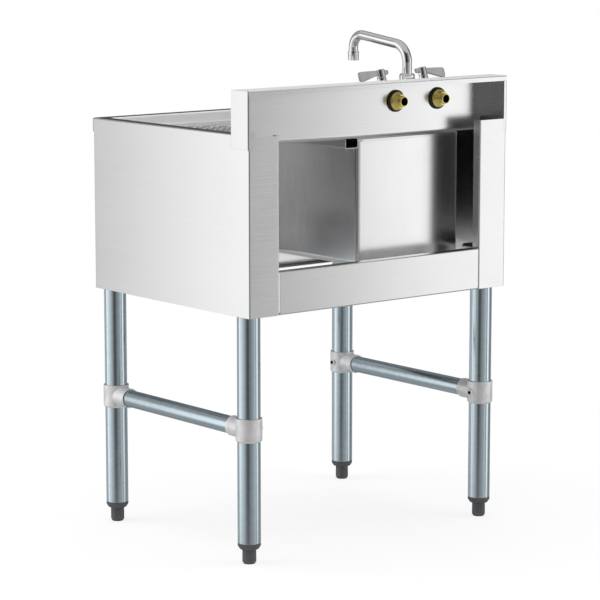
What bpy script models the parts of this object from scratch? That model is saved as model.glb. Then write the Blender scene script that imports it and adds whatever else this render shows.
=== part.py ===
"""Underbar sink: a folded top with drainboard, rim and splash, a drawn bowl, an open-backed
cabinet on four galvanised legs, and a splash-mounted faucet. Metres, +Z up.

The origin is on the floor under the middle of the cabinet. The front faces -Y, the bowl is at -X
(left from the front) and the drainboard at +X.
"""

import math

import bmesh
import bpy
from mathutils import Matrix, Vector

# Cabinet and sheet metal
WIDTH = 0.6096
DEPTH = 0.4699
RIM_HEIGHT = 0.762
CABINET_HEIGHT = 0.3175
SHEET = 0.0012
GAP = 0.0003
OVERRUN = 0.004
WELD = 0.00001
PANEL_CLEARANCE = 0.0006
SEAM = 0.0006
BEND = 0.003
BEND_STEPS = 3
PLAN_CORNER_STEPS = 2

# Folded top
RIM_WIDTH = 0.025
SKIRT_DROP = 0.0254
DECK_DROP = 0.0254
DRAIN_FALL = 0.0036
SKIRT_CORNER = 0.006
TRAY_CORNER = 0.010
COVE = 0.008
BOWL_ROLL = 0.006
BOWL_LIP = 0.002
SPLASH_RISE = 0.0762
SPLASH_DEPTH = 0.0485
LIP_DROP = 0.0095
END_FLANGE = 0.0075

# Embossed buttons of the drainboard
BUTTON_DIAMETER = 0.0185
BUTTON_RISE = 0.0018
BUTTON_PITCH = 0.03175
BUTTON_MARGIN = 0.0058
BUTTON_CROWN_SHARE = 0.58
BUTTON_SIDES = 6

# Bowl and its drain
BOWL_WIDTH = 0.2477
BOWL_LENGTH = 0.357
BOWL_DEPTH = 0.235
BOWL_SIDE_GAP = 0.0591
BOWL_REAR_GAP = 0.0195
BOWL_CORNER = 0.007
BOWL_FLOOR_RADIUS = 0.010
BOWL_CORNER_LEAST_SHARE = 0.35
BOWL_FLOOR_FALL = 0.003
DRAIN_HOLE = 0.046
DRAIN_FLANGE = 0.070
DRAIN_FLANGE_THICKNESS = 0.002
DRAIN_BODY = 0.0445
DRAIN_BORE = 0.037
DRAIN_LENGTH = 0.046
DRAIN_BAR = 0.0035
DRAIN_GASKET = 0.064
DRAIN_GASKET_THICKNESS = 0.003
DRAIN_NUT_FLATS = 0.060
DRAIN_NUT_HEIGHT = 0.009

# Cabinet panels
STILE = 0.0683
STILE_RETURN = 0.0165
FRONT_FLANGE = 0.016
RAIL_HEIGHT = 0.0762
RAIL_RETURN = 0.018
APRON_RETURN = 0.031
CHANNEL_OFFSET = 0.0076
CHANNEL_WIDTH = 0.030
CHANNEL_DEPTH = 0.0166

# Legs, sockets, tees and feet
LEG_DIAMETER = 0.0413
LEG_WALL = 0.0015
LEG_SIDE_INSET = 0.0274
LEG_REAR_INSET = 0.0357
LEG_FRONT_INSET = 0.0303
SOCKET_PLATE = 0.003
SOCKET_WALL = 0.002
SOCKET_DEPTH = 0.058
SOCKET_REACH = 0.036
SOCKET_CHAMFER = 0.022
COLLAR_HEIGHT = 0.0107
COLLAR_FOOT_DIAMETER = 0.034
COLLAR_PLUG = 0.024
FOOT_DIAMETER = 0.025
FOOT_TIP_DIAMETER = 0.019
FOOT_HEIGHT = 0.0265
FOOT_TAPER = 0.007
FOOT_STUD_DIAMETER = 0.010
FOOT_STUD_LENGTH = 0.058
TEE_HEIGHT = 0.0417
TEE_CENTRE = 0.2413
TEE_WALL = 0.00305
TEE_CHAMFER = 0.003
TEE_RELIEF = 0.0013
TEE_REACH = 0.046
TUBE_DIAMETER = 0.03175
TUBE_WALL = 0.0015
BRANCH_WALL = 0.0021
TUBE_INSERT = 0.018
SCREW_DIAMETER = 0.006
SCREW_BOSS = 0.012
SCREW_BOSS_RISE = 0.0035
SCREW_PROUD = 0.0015
HEX_KEY = 0.003
HEX_KEY_DEPTH = 0.002

# Faucet
SHANK_SPACING = 0.1016
SHANK_BELOW_TOP = 0.0381
SHANK_DIAMETER = 0.019
SHANK_BORE = 0.0154
SHANK_TAIL = 0.0245
SHANK_SEAT = 0.010
HOLE_CLEARANCE = 0.0012
WALL_FLANGE = 0.042
WALL_FLANGE_THICKNESS = 0.007
STANDOFF = 0.025
ARM_DIAMETER = 0.026
BAR_DIAMETER = 0.022
HOUSING_DIAMETER = 0.028
HOUSING_BELOW = 0.015
HOUSING_ABOVE = 0.021
HOUSING_ROUND = 0.005
STEM_TILT = math.radians(18)
WASHER_DIAMETER = 0.040
WASHER_THICKNESS = 0.003
NUT_DIAMETER = 0.0335
NUT_COLLAR = 0.003
NUT_LENGTH = 0.014
NUT_SMALL_DIAMETER = 0.0235
BONNET_DIAMETER = 0.025
BONNET_NECK = 0.017
BONNET_LENGTH = 0.019
STEM_DIAMETER = 0.008
STEM_SOCKET = 0.009
STEM_GRIP = 0.0105
HUB_DIAMETER = 0.0165
HUB_LENGTH = 0.0165
HUB_CROWN = 0.002
LEVER_LENGTH = 0.054
LEVER_THICKNESS = 0.0045
LEVER_ROOT = 0.0105
LEVER_END = 0.0195
LEVER_ROUND = 0.004
LEVER_FALL_SHARE = 0.125
LEVER_EDGE_SHARE = 0.2
LEVER_FLARE_SHARE = 0.33
LEVER_TIP_SHARE = 0.25
NOSE_END_SHARE = 0.5
NOSE_LENGTH = 0.018
NOSE_HEIGHT = 0.0085
HANDLE_SCREW = 0.0036
HANDLE_SCREW_HEAD = 0.0075
HANDLE_SCREW_HEAD_HEIGHT = 0.0022
HANDLE_SCREW_LENGTH = 0.009
RISER_DIAMETER = 0.025
RISER_HEIGHT = 0.033
RISER_NECK = 0.004
SPOUT_NUT_DIAMETER = 0.029
SPOUT_NUT_HEIGHT = 0.0125
SPOUT_TUBE = 0.0176
SPOUT_TUBE_WALL = 0.0012
SPOUT_SEAT = 0.010
SPOUT_REACH = 0.1515
SPOUT_SHOULDER = 0.095
SPOUT_CREST = 0.1135
SPOUT_REAR_BEND = 0.034
SPOUT_FRONT_BEND = 0.024
SPOUT_OUTLET = 0.0625
AERATOR_DIAMETER = 0.0205
AERATOR_HEIGHT = 0.0165
AERATOR_MOUTH = 0.0135
AERATOR_CUP = 0.006

# Numbers of facets
LEG_SIDES = 20
ROUND_SIDES = 18
FOOT_SIDES = 12
SMALL_SIDES = 10
SPOUT_BEVEL_STEPS = 4
SHARP_ANGLE = math.radians(35)

# Places that follow from the sizes
HALF_WIDTH = WIDTH / 2
HALF_DEPTH = DEPTH / 2
CABINET_BOTTOM = RIM_HEIGHT - CABINET_HEIGHT
SPLASH_TOP = RIM_HEIGHT + SPLASH_RISE
SPLASH_FACE = HALF_DEPTH - SPLASH_DEPTH
SKIRT_BOTTOM = RIM_HEIGHT - SKIRT_DROP
DECK_LEVEL = RIM_HEIGHT - DECK_DROP
TRAY_SIDE = HALF_WIDTH - RIM_WIDTH
TRAY_FRONT = -HALF_DEPTH + RIM_WIDTH
PANEL_FACE = HALF_WIDTH - SHEET - PANEL_CLEARANCE
PANEL_TOP = RIM_HEIGHT - BEND - GAP
APRON_FACE = -HALF_DEPTH + SHEET + PANEL_CLEARANCE
STILE_EDGE = HALF_WIDTH - STILE
BOWL_LEFT = -HALF_WIDTH + BOWL_SIDE_GAP
BOWL_RIGHT = BOWL_LEFT + BOWL_WIDTH
BOWL_BACK = SPLASH_FACE - BOWL_REAR_GAP
BOWL_FRONT = BOWL_BACK - BOWL_LENGTH
BOWL_CENTRE = Vector(((BOWL_LEFT + BOWL_RIGHT) / 2, (BOWL_BACK + BOWL_FRONT) / 2, 0))
BOWL_TOP = DECK_LEVEL - BOWL_ROLL - BOWL_LIP - GAP
BOWL_FLOOR = DECK_LEVEL - BOWL_DEPTH
BOARD_EDGE = BOWL_RIGHT + CHANNEL_OFFSET + CHANNEL_WIDTH + 2 * GAP
LEG_RADIUS = LEG_DIAMETER / 2
LEG_FOOT = FOOT_HEIGHT + COLLAR_HEIGHT + 2 * GAP
SOCKET_TOP = CABINET_BOTTOM + RAIL_HEIGHT
LEG_TOP = SOCKET_TOP - SOCKET_PLATE - GAP
LEG_X = HALF_WIDTH - LEG_SIDE_INSET
LEG_REAR_Y = HALF_DEPTH - LEG_REAR_INSET
LEG_FRONT_Y = -HALF_DEPTH + LEG_FRONT_INSET
FAUCET = Vector((BOWL_CENTRE.x, SPLASH_FACE, SPLASH_TOP - SHANK_BELOW_TOP))
SPOUT_FOOT = RISER_HEIGHT + RISER_NECK + GAP
SPOUT_NUT_TOP = RISER_HEIGHT + GAP + SPOUT_NUT_HEIGHT
BONNET_FOOT = HOUSING_ABOVE + GAP
HUB_FOOT = BONNET_FOOT + BONNET_LENGTH + GAP
HUB_TOP = HUB_FOOT + HUB_LENGTH
STEM_TOP = HUB_FOOT + STEM_GRIP

CORNERS = {
    "front_left": (-1, -1),
    "front_right": (1, -1),
    "rear_left": (-1, 1),
    "rear_right": (1, 1),
}
SIDES = {"left": -1, "right": 1}
TAPS = {"hot": -1, "cold": 1}


def clear_scene():
    """Remove whatever the file holds."""
    for old in list(bpy.data.objects):
        bpy.data.objects.remove(old, do_unlink=True)


def new_collection(name, hidden=False):
    """A collection of the scene, left out of renders where hidden is set."""
    made = bpy.data.collections.new(name)
    bpy.context.scene.collection.children.link(made)
    made.hide_render = hidden
    return made


def finish(name, colour, roughness, metallic):
    """A Principled material of one colour."""
    made = bpy.data.materials.new(name)
    made.use_nodes = True
    shader = made.node_tree.nodes["Principled BSDF"]
    shader.inputs["Base Color"].default_value = (*colour, 1)
    shader.inputs["Roughness"].default_value = roughness
    shader.inputs["Metallic"].default_value = metallic
    made.diffuse_color = (*colour, 1)
    return made


def add_object(name, mesh, material):
    """Link a mesh or a curve as a named part of the sink."""
    made = bpy.data.objects.new(name, mesh)
    mesh.materials.append(material)
    PARTS.objects.link(made)
    return made


def add_cutter(name, mesh):
    """Link a mesh as a helper that the build leaves out."""
    made = bpy.data.objects.new(name, mesh)
    made.hide_render = True
    made.display_type = "WIRE"
    CUTTERS.objects.link(made)
    return made


def boolean(target, other, operation):
    """Add one exact Boolean modifier."""
    modifier = target.modifiers.new(other.name, "BOOLEAN")
    modifier.operation = operation
    modifier.object = other
    modifier.solver = "EXACT"


def cut(target, *others):
    """Cut every other object from the target."""
    for other in others:
        boolean(target, other, "DIFFERENCE")


def join(target, *others):
    """Join every other object to the target."""
    for other in others:
        boolean(target, other, "UNION")


def solidify(target, thickness=SHEET):
    """Give an open surface its wall, on the side away from its normals."""
    modifier = target.modifiers.new("wall", "SOLIDIFY")
    modifier.thickness = thickness
    modifier.offset = -1
    modifier.use_even_offset = True


def bevel(target, width, segments=2):
    """Ease the sharp edges of an object."""
    modifier = target.modifiers.new("edges", "BEVEL")
    modifier.width = width
    modifier.segments = segments
    modifier.limit_method = "ANGLE"


def mesh_from(bm, name, smooth=False):
    """Turn a bmesh into a mesh."""
    mesh = bpy.data.meshes.new(name)
    bm.to_mesh(mesh)
    bm.free()
    if smooth:
        mesh.shade_smooth()
        mesh.set_sharp_from_angle(angle=SHARP_ANGLE)
    return mesh


def box_mesh(name, low, high):
    """A box between two corners, given in any order."""
    bm = bmesh.new()
    bmesh.ops.create_cube(bm, size=1)
    size = [abs(b - a) for a, b in zip(low, high)]
    middle = [(a + b) / 2 for a, b in zip(low, high)]
    bmesh.ops.scale(bm, vec=size, verts=bm.verts)
    bmesh.ops.translate(bm, vec=middle, verts=bm.verts)
    return mesh_from(bm, name)


def turned_mesh(name, profile, sides, closed=False):
    """A profile of (radius, height) points, run down the outer side and spun round the Z axis."""
    bm = bmesh.new()
    points = [bm.verts.new((radius, 0, height)) for radius, height in profile]
    edges = [bm.edges.new(pair) for pair in zip(points, points[1:])]
    if closed:
        edges.append(bm.edges.new((points[-1], points[0])))
    bmesh.ops.spin(
        bm, geom=points + edges, cent=(0, 0, 0), axis=(0, 0, 1), angle=2 * math.pi, steps=sides,
        use_merge=True,
    )
    bmesh.ops.remove_doubles(bm, verts=bm.verts, dist=WELD)
    bmesh.ops.recalc_face_normals(bm, faces=bm.faces)
    return mesh_from(bm, name, smooth=True)


def turned(name, profile, material, place, sides=ROUND_SIDES, closed=False):
    """A turned part standing at a place, which is a matrix."""
    made = add_object(name, turned_mesh(name, profile, sides, closed), material)
    made.matrix_world = place
    return made


def turned_cutter(name, profile, place, sides=ROUND_SIDES, closed=False):
    """A turned helper standing at a place."""
    made = add_cutter(name, turned_mesh(name, profile, sides, closed))
    made.matrix_world = place
    return made


def bore(name, profile, place, sides=ROUND_SIDES):
    """A turned cutter, half a facet round, so that its corners miss those of the shape it cuts."""
    return turned_cutter(name, profile, place @ Matrix.Rotation(math.pi / sides, 4, "Z"), sides)


def rod(radius, low, high):
    """The profile of a plain rod."""
    return [(0, high), (radius, high), (radius, low), (0, low)]


def ring(outer, inner, low, high):
    """The closed profile of a plain tube."""
    return [(outer, high), (outer, low), (inner, low), (inner, high)]


def upright(x, y, z=0.0):
    """A matrix at a place, with its Z axis up."""
    return Matrix.Translation((x, y, z))


def facing(place, direction):
    """A matrix at a place, whose Z axis points along a direction."""
    turn = Vector((0, 0, 1)).rotation_difference(Vector(direction)).to_matrix().to_4x4()
    return Matrix.Translation(place) @ turn


def arc(centre, radius, start, stop, steps):
    """Points of an arc, angles in radians."""
    turns = [start + (stop - start) * i / steps for i in range(steps + 1)]
    return [(centre[0] + radius * math.cos(a), centre[1] + radius * math.sin(a)) for a in turns]


def rounded_path(points, radius, steps=BEND_STEPS):
    """A path through 2D points whose inner corners are arcs of one radius."""
    path = [Vector(points[0])]
    for before, corner, after in zip(points, points[1:], points[2:]):
        corner = Vector(corner)
        back = (Vector(before) - corner).normalized()
        on = (Vector(after) - corner).normalized()
        half = back.angle(on) / 2
        reach = radius / math.tan(half)
        centre = corner + (back + on).normalized() * radius / math.sin(half)
        start, stop = corner + back * reach, corner + on * reach
        for step in range(steps + 1):
            chord = start.lerp(stop, step / steps)
            path.append(centre + (chord - centre).normalized() * radius)
    path.append(Vector(points[-1]))
    return path


def folded(name, path, place, low, high, material):
    """A bent sheet: its outer face follows a 2D path, with the outside on the right hand.

    place maps (along u, along v, along w) to the world; the sheet runs from w = low to w = high.
    """
    bm = bmesh.new()
    start = [bm.verts.new(place(u, v, high)) for u, v in path]
    edges = [bm.edges.new(pair) for pair in zip(start, start[1:])]
    extruded = bmesh.ops.extrude_edge_only(bm, edges=edges)["geom"]
    moved = [item for item in extruded if isinstance(item, bmesh.types.BMVert)]
    run = Vector(place(0, 0, low)) - Vector(place(0, 0, high))
    bmesh.ops.translate(bm, vec=run, verts=moved)
    made = add_object(name, mesh_from(bm, name, smooth=True), material)
    solidify(made)
    return made


def loft(bm, loops, closed=False):
    """Faces between neighbouring rows of vertices."""
    for lower, upper in zip(loops, loops[1:]):
        count = len(lower)
        for i in range(count if closed else count - 1):
            j = (i + 1) % count
            bm.faces.new((lower[i], lower[j], upper[j], upper[i]))


def face_along(bm, up):
    """Make the faces of an open surface agree, and point up (1) or down (-1) on the whole."""
    bmesh.ops.recalc_face_normals(bm, faces=bm.faces)
    if up * sum(face.normal.z * face.calc_area() for face in bm.faces) < 0:
        bmesh.ops.reverse_faces(bm, faces=bm.faces)


def fill(bm, *loops):
    """Triangles between an outline and the holes in it, facing up. Each loop is a ring of vertices."""
    edges = []
    for loop in loops:
        for a, b in zip(loop, loop[1:] + loop[:1]):
            edges.append(bm.edges.get((a, b)) or bm.edges.new((a, b)))
    bmesh.ops.triangle_fill(bm, use_beauty=True, edges=edges, normal=(0, 0, 1))


def rectangle(left, right, front, back, radius, steps=PLAN_CORNER_STEPS):
    """A rectangle with round corners, as points running anticlockwise from its back left."""
    quarter = math.pi / 2
    places = (
        (left + radius, back - radius, quarter),
        (left + radius, front + radius, 2 * quarter),
        (right - radius, front + radius, 3 * quarter),
        (right - radius, back - radius, 4 * quarter),
    )
    points = []
    for x, y, start in places:
        points += arc((x, y), radius, start, start + quarter, steps)
    return points


def deck_height(x):
    """The deck is level round the bowl, and the drainboard rises from there to the right rim."""
    share = (x - BOARD_EDGE) / (TRAY_SIDE - COVE - BOARD_EDGE)
    return DECK_LEVEL + DRAIN_FALL * min(max(share, 0), 1)


def rim_row(bm, inset, corner, height):
    """A row along the rim's three free sides, from the splash round the front to the splash."""
    left, right, front = -HALF_WIDTH + inset, HALF_WIDTH - inset, -HALF_DEPTH + inset
    quarter = math.pi / 2
    points = [(left, SPLASH_FACE)]
    steps = PLAN_CORNER_STEPS
    points += arc((left + corner, front + corner), corner, 2 * quarter, 3 * quarter, steps)
    points.append((BOARD_EDGE, front))
    points += arc((right - corner, front + corner), corner, 3 * quarter, 4 * quarter, steps)
    points.append((right, SPLASH_FACE))
    return [bm.verts.new((x, y, height)) for x, y in points]


def rim_rows(bm):
    """Rows from the skirt's edge over the rim and down the inner wall to the cove."""
    rows = [rim_row(bm, 0, SKIRT_CORNER, SKIRT_BOTTOM)]
    for inset, height in arc((BEND, RIM_HEIGHT - BEND), BEND, math.pi, math.pi / 2, BEND_STEPS):
        rows.append(rim_row(bm, inset, SKIRT_CORNER, height))
    inner = (RIM_WIDTH - BEND, RIM_HEIGHT - BEND)
    for inset, height in arc(inner, BEND, math.pi / 2, 0, BEND_STEPS):
        rows.append(rim_row(bm, inset, TRAY_CORNER, height))
    return rows


def cove_rows(bm):
    """Closed rows of the cove round the whole deck, which follow the drainboard's slope."""
    rows = []
    for inset, rise in arc((COVE, COVE), COVE, math.pi, 1.5 * math.pi, BEND_STEPS):
        row = rim_row(bm, RIM_WIDTH + inset, TRAY_CORNER, rise)
        row[0].co.y = row[-1].co.y = SPLASH_FACE - inset
        row.append(bm.verts.new((BOARD_EDGE, SPLASH_FACE - inset, rise)))
        for vertex in row:
            vertex.co.z += deck_height(vertex.co.x)
        rows.append(row)
    return rows


def splash_rows(bm):
    """Rows of the splash's top fold and rear lip, each from the left end to the right end."""
    side = HALF_WIDTH - SHEET - GAP
    corners = [
        (SPLASH_FACE, RIM_HEIGHT),
        (SPLASH_FACE, SPLASH_TOP),
        (HALF_DEPTH, SPLASH_TOP),
        (HALF_DEPTH, SPLASH_TOP - LIP_DROP),
    ]
    path = rounded_path(corners, BEND)
    return [[bm.verts.new((x, y, z)) for x in (-side, side)] for y, z in path]


def bowl_opening(bm):
    """Rows of the edge that rolls down into the bowl, from the deck to the weld."""
    rows = []
    roll = arc((BOWL_ROLL, -BOWL_ROLL), BOWL_ROLL, math.pi / 2, math.pi, BEND_STEPS)
    for outset, drop in roll + [(0, -BOWL_ROLL - BOWL_LIP)]:
        grow = outset - SHEET
        outline = rectangle(
            BOWL_LEFT - grow, BOWL_RIGHT + grow, BOWL_FRONT - grow, BOWL_BACK + grow,
            BOWL_CORNER + grow,
        )
        rows.append([bm.verts.new((x, y, DECK_LEVEL + drop)) for x, y in outline])
    return rows


def button_centres():
    """Staggered rows over the drainboard: neighbours lie one pitch apart."""
    step = BUTTON_PITCH * math.sqrt(3) / 2
    reach = BUTTON_DIAMETER / 2 + BUTTON_MARGIN
    low, high = BOARD_EDGE + reach, TRAY_SIDE - COVE - reach
    front, back = TRAY_FRONT + COVE + reach, SPLASH_FACE - COVE - reach
    columns = max(1, int((high - low) / step) + 1)
    rows = max(2, int((back - front) / BUTTON_PITCH) + 1)
    first_x = (low + high - step * (columns - 1)) / 2
    first_y = (front + back - BUTTON_PITCH * (rows - 1)) / 2
    for column in range(columns):
        odd = column % 2
        for row in range(rows - odd):
            yield first_x + column * step, first_y + (row + odd / 2) * BUTTON_PITCH


def button_edge(bm, x, y):
    """One embossed button: it adds the crown, and returns its edge in the deck."""
    rings = []
    for share, rise in ((1, 0), (BUTTON_CROWN_SHARE, BUTTON_RISE)):
        around = arc((x, y), share * BUTTON_DIAMETER / 2, 0, 2 * math.pi, BUTTON_SIDES)[:-1]
        rings.append([bm.verts.new((u, v, deck_height(u) + rise)) for u, v in around])
    loft(bm, rings, closed=True)
    bm.faces.new(rings[-1])
    return rings[0]


def make_top(material):
    """Rim, drainboard and splash: one folded sheet with a rolled opening for the bowl."""
    bm = bmesh.new()
    rim = rim_rows(bm)
    coves = cove_rows(bm)
    splash = splash_rows(bm)
    loft(bm, rim)
    loft(bm, [rim[-1], coves[0][:-1]])
    loft(bm, coves, closed=True)
    loft(bm, splash[1:])
    inner = rim[BEND_STEPS + 1 :] + [coves[0][:-1]]
    left_side, right_side = [[row[end] for row in inner] for end in (0, -1)]
    foot, head = splash[0], splash[1]
    outline = left_side + [coves[0][-1]] + right_side[::-1]
    bm.faces.new(outline + [foot[1], head[1], head[0], foot[0]])
    deck = coves[-1]
    split = 2 + PLAN_CORNER_STEPS
    opening = bowl_opening(bm)
    loft(bm, opening, closed=True)
    fill(bm, deck[: split + 1] + deck[-1:], opening[0])
    buttons = [button_edge(bm, x, y) for x, y in button_centres()]
    fill(bm, deck[split:], *buttons)
    face_along(bm, 1)
    top = add_object("top_deck", mesh_from(bm, "top_deck"), material)
    solidify(top)
    cut(top, *shank_holes())
    return top


def shank_place(sign):
    """A frame on the splash at one shank, whose Z axis points to the rear."""
    return facing(FAUCET + Vector((sign * SHANK_SPACING / 2, 0, 0)), (0, 1, 0))


def shank_holes():
    """The cutters of the two holes in the splash."""
    radius = SHANK_DIAMETER / 2 + HOLE_CLEARANCE
    for tap, sign in TAPS.items():
        profile = rod(radius, -OVERRUN, SHEET + OVERRUN)
        yield bore(f"shank_hole_{tap}", profile, shank_place(sign))


def make_end_cap(name, sign, material):
    """The plate that closes one end of the splash box, with its narrow rear flange."""
    outer, inner = HALF_WIDTH, HALF_WIDTH - END_FLANGE
    corners = [(SPLASH_FACE + GAP, outer), (HALF_DEPTH, outer), (HALF_DEPTH, inner)]
    path = rounded_path(corners, BEND)
    if sign < 0:
        path.reverse()
    cap = folded(
        name, path, lambda y, x, z: (sign * x, y, z), SKIRT_BOTTOM, SPLASH_TOP, material
    )
    notch = box_mesh(
        f"{name}_notch",
        (sign * (HALF_WIDTH - SHEET - GAP / 2), SPLASH_FACE, SPLASH_TOP - LIP_DROP - GAP),
        (sign * (inner - OVERRUN), HALF_DEPTH + OVERRUN, SPLASH_TOP + OVERRUN),
    )
    cut(cap, add_cutter(f"{name}_notch", notch))
    return cap


def bowl_sections():
    """The bowl's outer profile from its weld down into the floor: (inset, height)."""
    sections = [(0, BOWL_TOP)]
    low = BOWL_FLOOR - SHEET
    centre = (BOWL_FLOOR_RADIUS, low + BOWL_FLOOR_RADIUS)
    return sections + arc(centre, BOWL_FLOOR_RADIUS, math.pi, 1.5 * math.pi, BEND_STEPS)


def make_bowl(material):
    """A drawn bowl, open at the top, whose floor falls to the drain."""
    bm = bmesh.new()
    rows = []
    for inset, height in bowl_sections():
        corner = max(BOWL_CORNER - inset, BOWL_CORNER * BOWL_CORNER_LEAST_SHARE)
        outline = rectangle(
            BOWL_LEFT + inset, BOWL_RIGHT - inset, BOWL_FRONT + inset, BOWL_BACK - inset, corner
        )
        rows.append([bm.verts.new((x, y, height)) for x, y in outline])
    low = BOWL_FLOOR - SHEET - BOWL_FLOOR_FALL
    around = arc(BOWL_CENTRE.xy, DRAIN_HOLE / 2, 0, 2 * math.pi, ROUND_SIDES)[:-1]
    drain = [bm.verts.new((x, y, low)) for x, y in around]
    seat_around = arc(BOWL_CENTRE.xy, DRAIN_FLANGE / 2 + GAP, 0, 2 * math.pi, ROUND_SIDES)[:-1]
    seat = [bm.verts.new((x, y, low)) for x, y in seat_around]
    loft(bm, [seat, drain], closed=True)
    loft(bm, rows, closed=True)
    fill(bm, rows[-1], seat)
    face_along(bm, -1)
    bowl = add_object("bowl", mesh_from(bm, "bowl"), material)
    solidify(bowl)
    return bowl


def make_side_panel(name, sign, material):
    """A side with a flange behind the apron, folded at the rear into the stile and its return."""
    front = APRON_FACE + SHEET + GAP
    corners = [
        (front, PANEL_FACE - FRONT_FLANGE),
        (front, PANEL_FACE),
        (HALF_DEPTH, PANEL_FACE),
        (HALF_DEPTH, STILE_EDGE),
        (HALF_DEPTH - STILE_RETURN, STILE_EDGE),
    ]
    path = rounded_path(corners, BEND)
    if sign < 0:
        path.reverse()
    panel = folded(
        name, path, lambda y, x, z: (sign * x, y, z), CABINET_BOTTOM, PANEL_TOP, material
    )
    notch = box_mesh(
        f"{name}_notch",
        (sign * (HALF_WIDTH - END_FLANGE - GAP), HALF_DEPTH - SHEET - GAP, SKIRT_BOTTOM - GAP),
        (sign * (HALF_WIDTH + OVERRUN), HALF_DEPTH + OVERRUN, PANEL_TOP + OVERRUN),
    )
    cut(panel, add_cutter(f"{name}_notch", notch))
    return panel


def make_apron(material):
    """The front sheet with a return along its bottom, which stops short of the legs."""
    corners = [
        (APRON_FACE, PANEL_TOP),
        (APRON_FACE, CABINET_BOTTOM),
        (APRON_FACE + APRON_RETURN, CABINET_BOTTOM),
    ]
    side = PANEL_FACE - BEND - GAP
    apron = folded(
        "front_apron", rounded_path(corners, BEND), lambda y, z, x: (x, y, z), -side, side, material
    )
    inner = LEG_X - LEG_RADIUS - SOCKET_WALL - 2 * GAP - OVERRUN
    for side, sign in SIDES.items():
        notch = box_mesh(
            f"apron_notch_{side}",
            (sign * inner, APRON_FACE + SHEET + GAP / 2, CABINET_BOTTOM - OVERRUN),
            (sign * WIDTH, APRON_FACE + APRON_RETURN + OVERRUN, CABINET_BOTTOM + OVERRUN),
        )
        cut(apron, add_cutter(f"apron_notch_{side}", notch))
    return apron


def make_rail(material):
    """The rear rail: a channel between the stiles, open to the front."""
    low, high, inner = CABINET_BOTTOM, CABINET_BOTTOM + RAIL_HEIGHT, HALF_DEPTH - RAIL_RETURN
    corners = [(inner, low), (HALF_DEPTH, low), (HALF_DEPTH, high), (inner, high)]
    side = STILE_EDGE - SEAM
    return folded(
        "rear_rail", rounded_path(corners, BEND), lambda y, z, x: (x, y, z), -side, side, material
    )


def make_channel(material):
    """The channel under the drainboard beside the bowl, with two flanges against the deck."""
    high = DECK_LEVEL - SHEET - GAP
    left = BOWL_RIGHT + CHANNEL_OFFSET
    right = left + CHANNEL_WIDTH
    front, back = TRAY_FRONT + COVE + GAP, SPLASH_FACE - COVE - GAP
    corners = [
        (left, high),
        (left, high - CHANNEL_DEPTH),
        (right, high - CHANNEL_DEPTH),
        (right, high),
    ]
    return folded(
        "drainboard_channel", rounded_path(corners, BEND), lambda x, z, y: (x, y, z),
        back, front, material,
    )


def leg_place(corner):
    """The sign of X and the place of a leg's axis on the floor."""
    side, end = CORNERS[corner]
    return side, side * LEG_X, LEG_REAR_Y if end > 0 else LEG_FRONT_Y


def make_socket(corner, material):
    """A gusset plate with clipped corner, welded into the cabinet's corner, and the leg's socket."""
    side, x, y = leg_place(corner)
    end = CORNERS[corner][1]
    wall_x = PANEL_FACE - SHEET - GAP
    wall_y = HALF_DEPTH - SHEET - GAP if end > 0 else -APRON_FACE - 2 * (SHEET + GAP)
    inner_x, inner_y = LEG_X - SOCKET_REACH, abs(y) - SOCKET_REACH
    outline = [
        (inner_x + SOCKET_CHAMFER, inner_y),
        (wall_x, inner_y),
        (wall_x, wall_y - BEND),
        (wall_x - BEND, wall_y),
        (inner_x, wall_y),
        (inner_x, inner_y + SOCKET_CHAMFER),
    ]
    bm = bmesh.new()
    rows = []
    for height in (SOCKET_TOP - SOCKET_PLATE, SOCKET_TOP):
        rows.append([bm.verts.new((side * u, end * v, height)) for u, v in outline])
    loft(bm, rows, closed=True)
    for row in rows:
        bm.faces.new(row)
    bmesh.ops.recalc_face_normals(bm, faces=bm.faces)
    name = f"leg_socket_{corner}"
    socket = add_object(name, mesh_from(bm, name), material)
    outer, inner = LEG_RADIUS + GAP + SOCKET_WALL, LEG_RADIUS + GAP
    low, high = SOCKET_TOP - SOCKET_DEPTH, SOCKET_TOP - SOCKET_PLATE
    barrel = turned_cutter(
        f"{name}_barrel", rod(outer, low, high + SOCKET_PLATE / 2), upright(x, y), LEG_SIDES
    )
    hollow = bore(f"{name}_hollow", rod(inner, low - OVERRUN, high), upright(x, y), LEG_SIDES)
    join(socket, barrel)
    cut(socket, hollow)
    return socket


def make_leg(corner, material):
    """A leg tube, from the collar up into its socket."""
    _, x, y = leg_place(corner)
    profile = ring(LEG_RADIUS, LEG_RADIUS - LEG_WALL, LEG_FOOT, LEG_TOP)
    return turned(f"leg_{corner}", profile, material, upright(x, y), LEG_SIDES, closed=True)


def make_collar(corner, material):
    """The insert in the leg's end: a tapered collar below the tube, a plug in it, a threaded bore."""
    _, x, y = leg_place(corner)
    inner = FOOT_STUD_DIAMETER / 2 + GAP
    plug = LEG_RADIUS - LEG_WALL - GAP
    low, high = FOOT_HEIGHT + GAP, LEG_FOOT - GAP
    profile = [
        (plug, high + COLLAR_PLUG),
        (plug, high),
        (LEG_RADIUS, high),
        (LEG_RADIUS, (low + high) / 2),
        (COLLAR_FOOT_DIAMETER / 2, low),
        (inner, low),
        (inner, high + COLLAR_PLUG),
    ]
    name = f"leg_collar_{corner}"
    return turned(name, profile, material, upright(x, y), FOOT_SIDES, closed=True)


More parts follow.
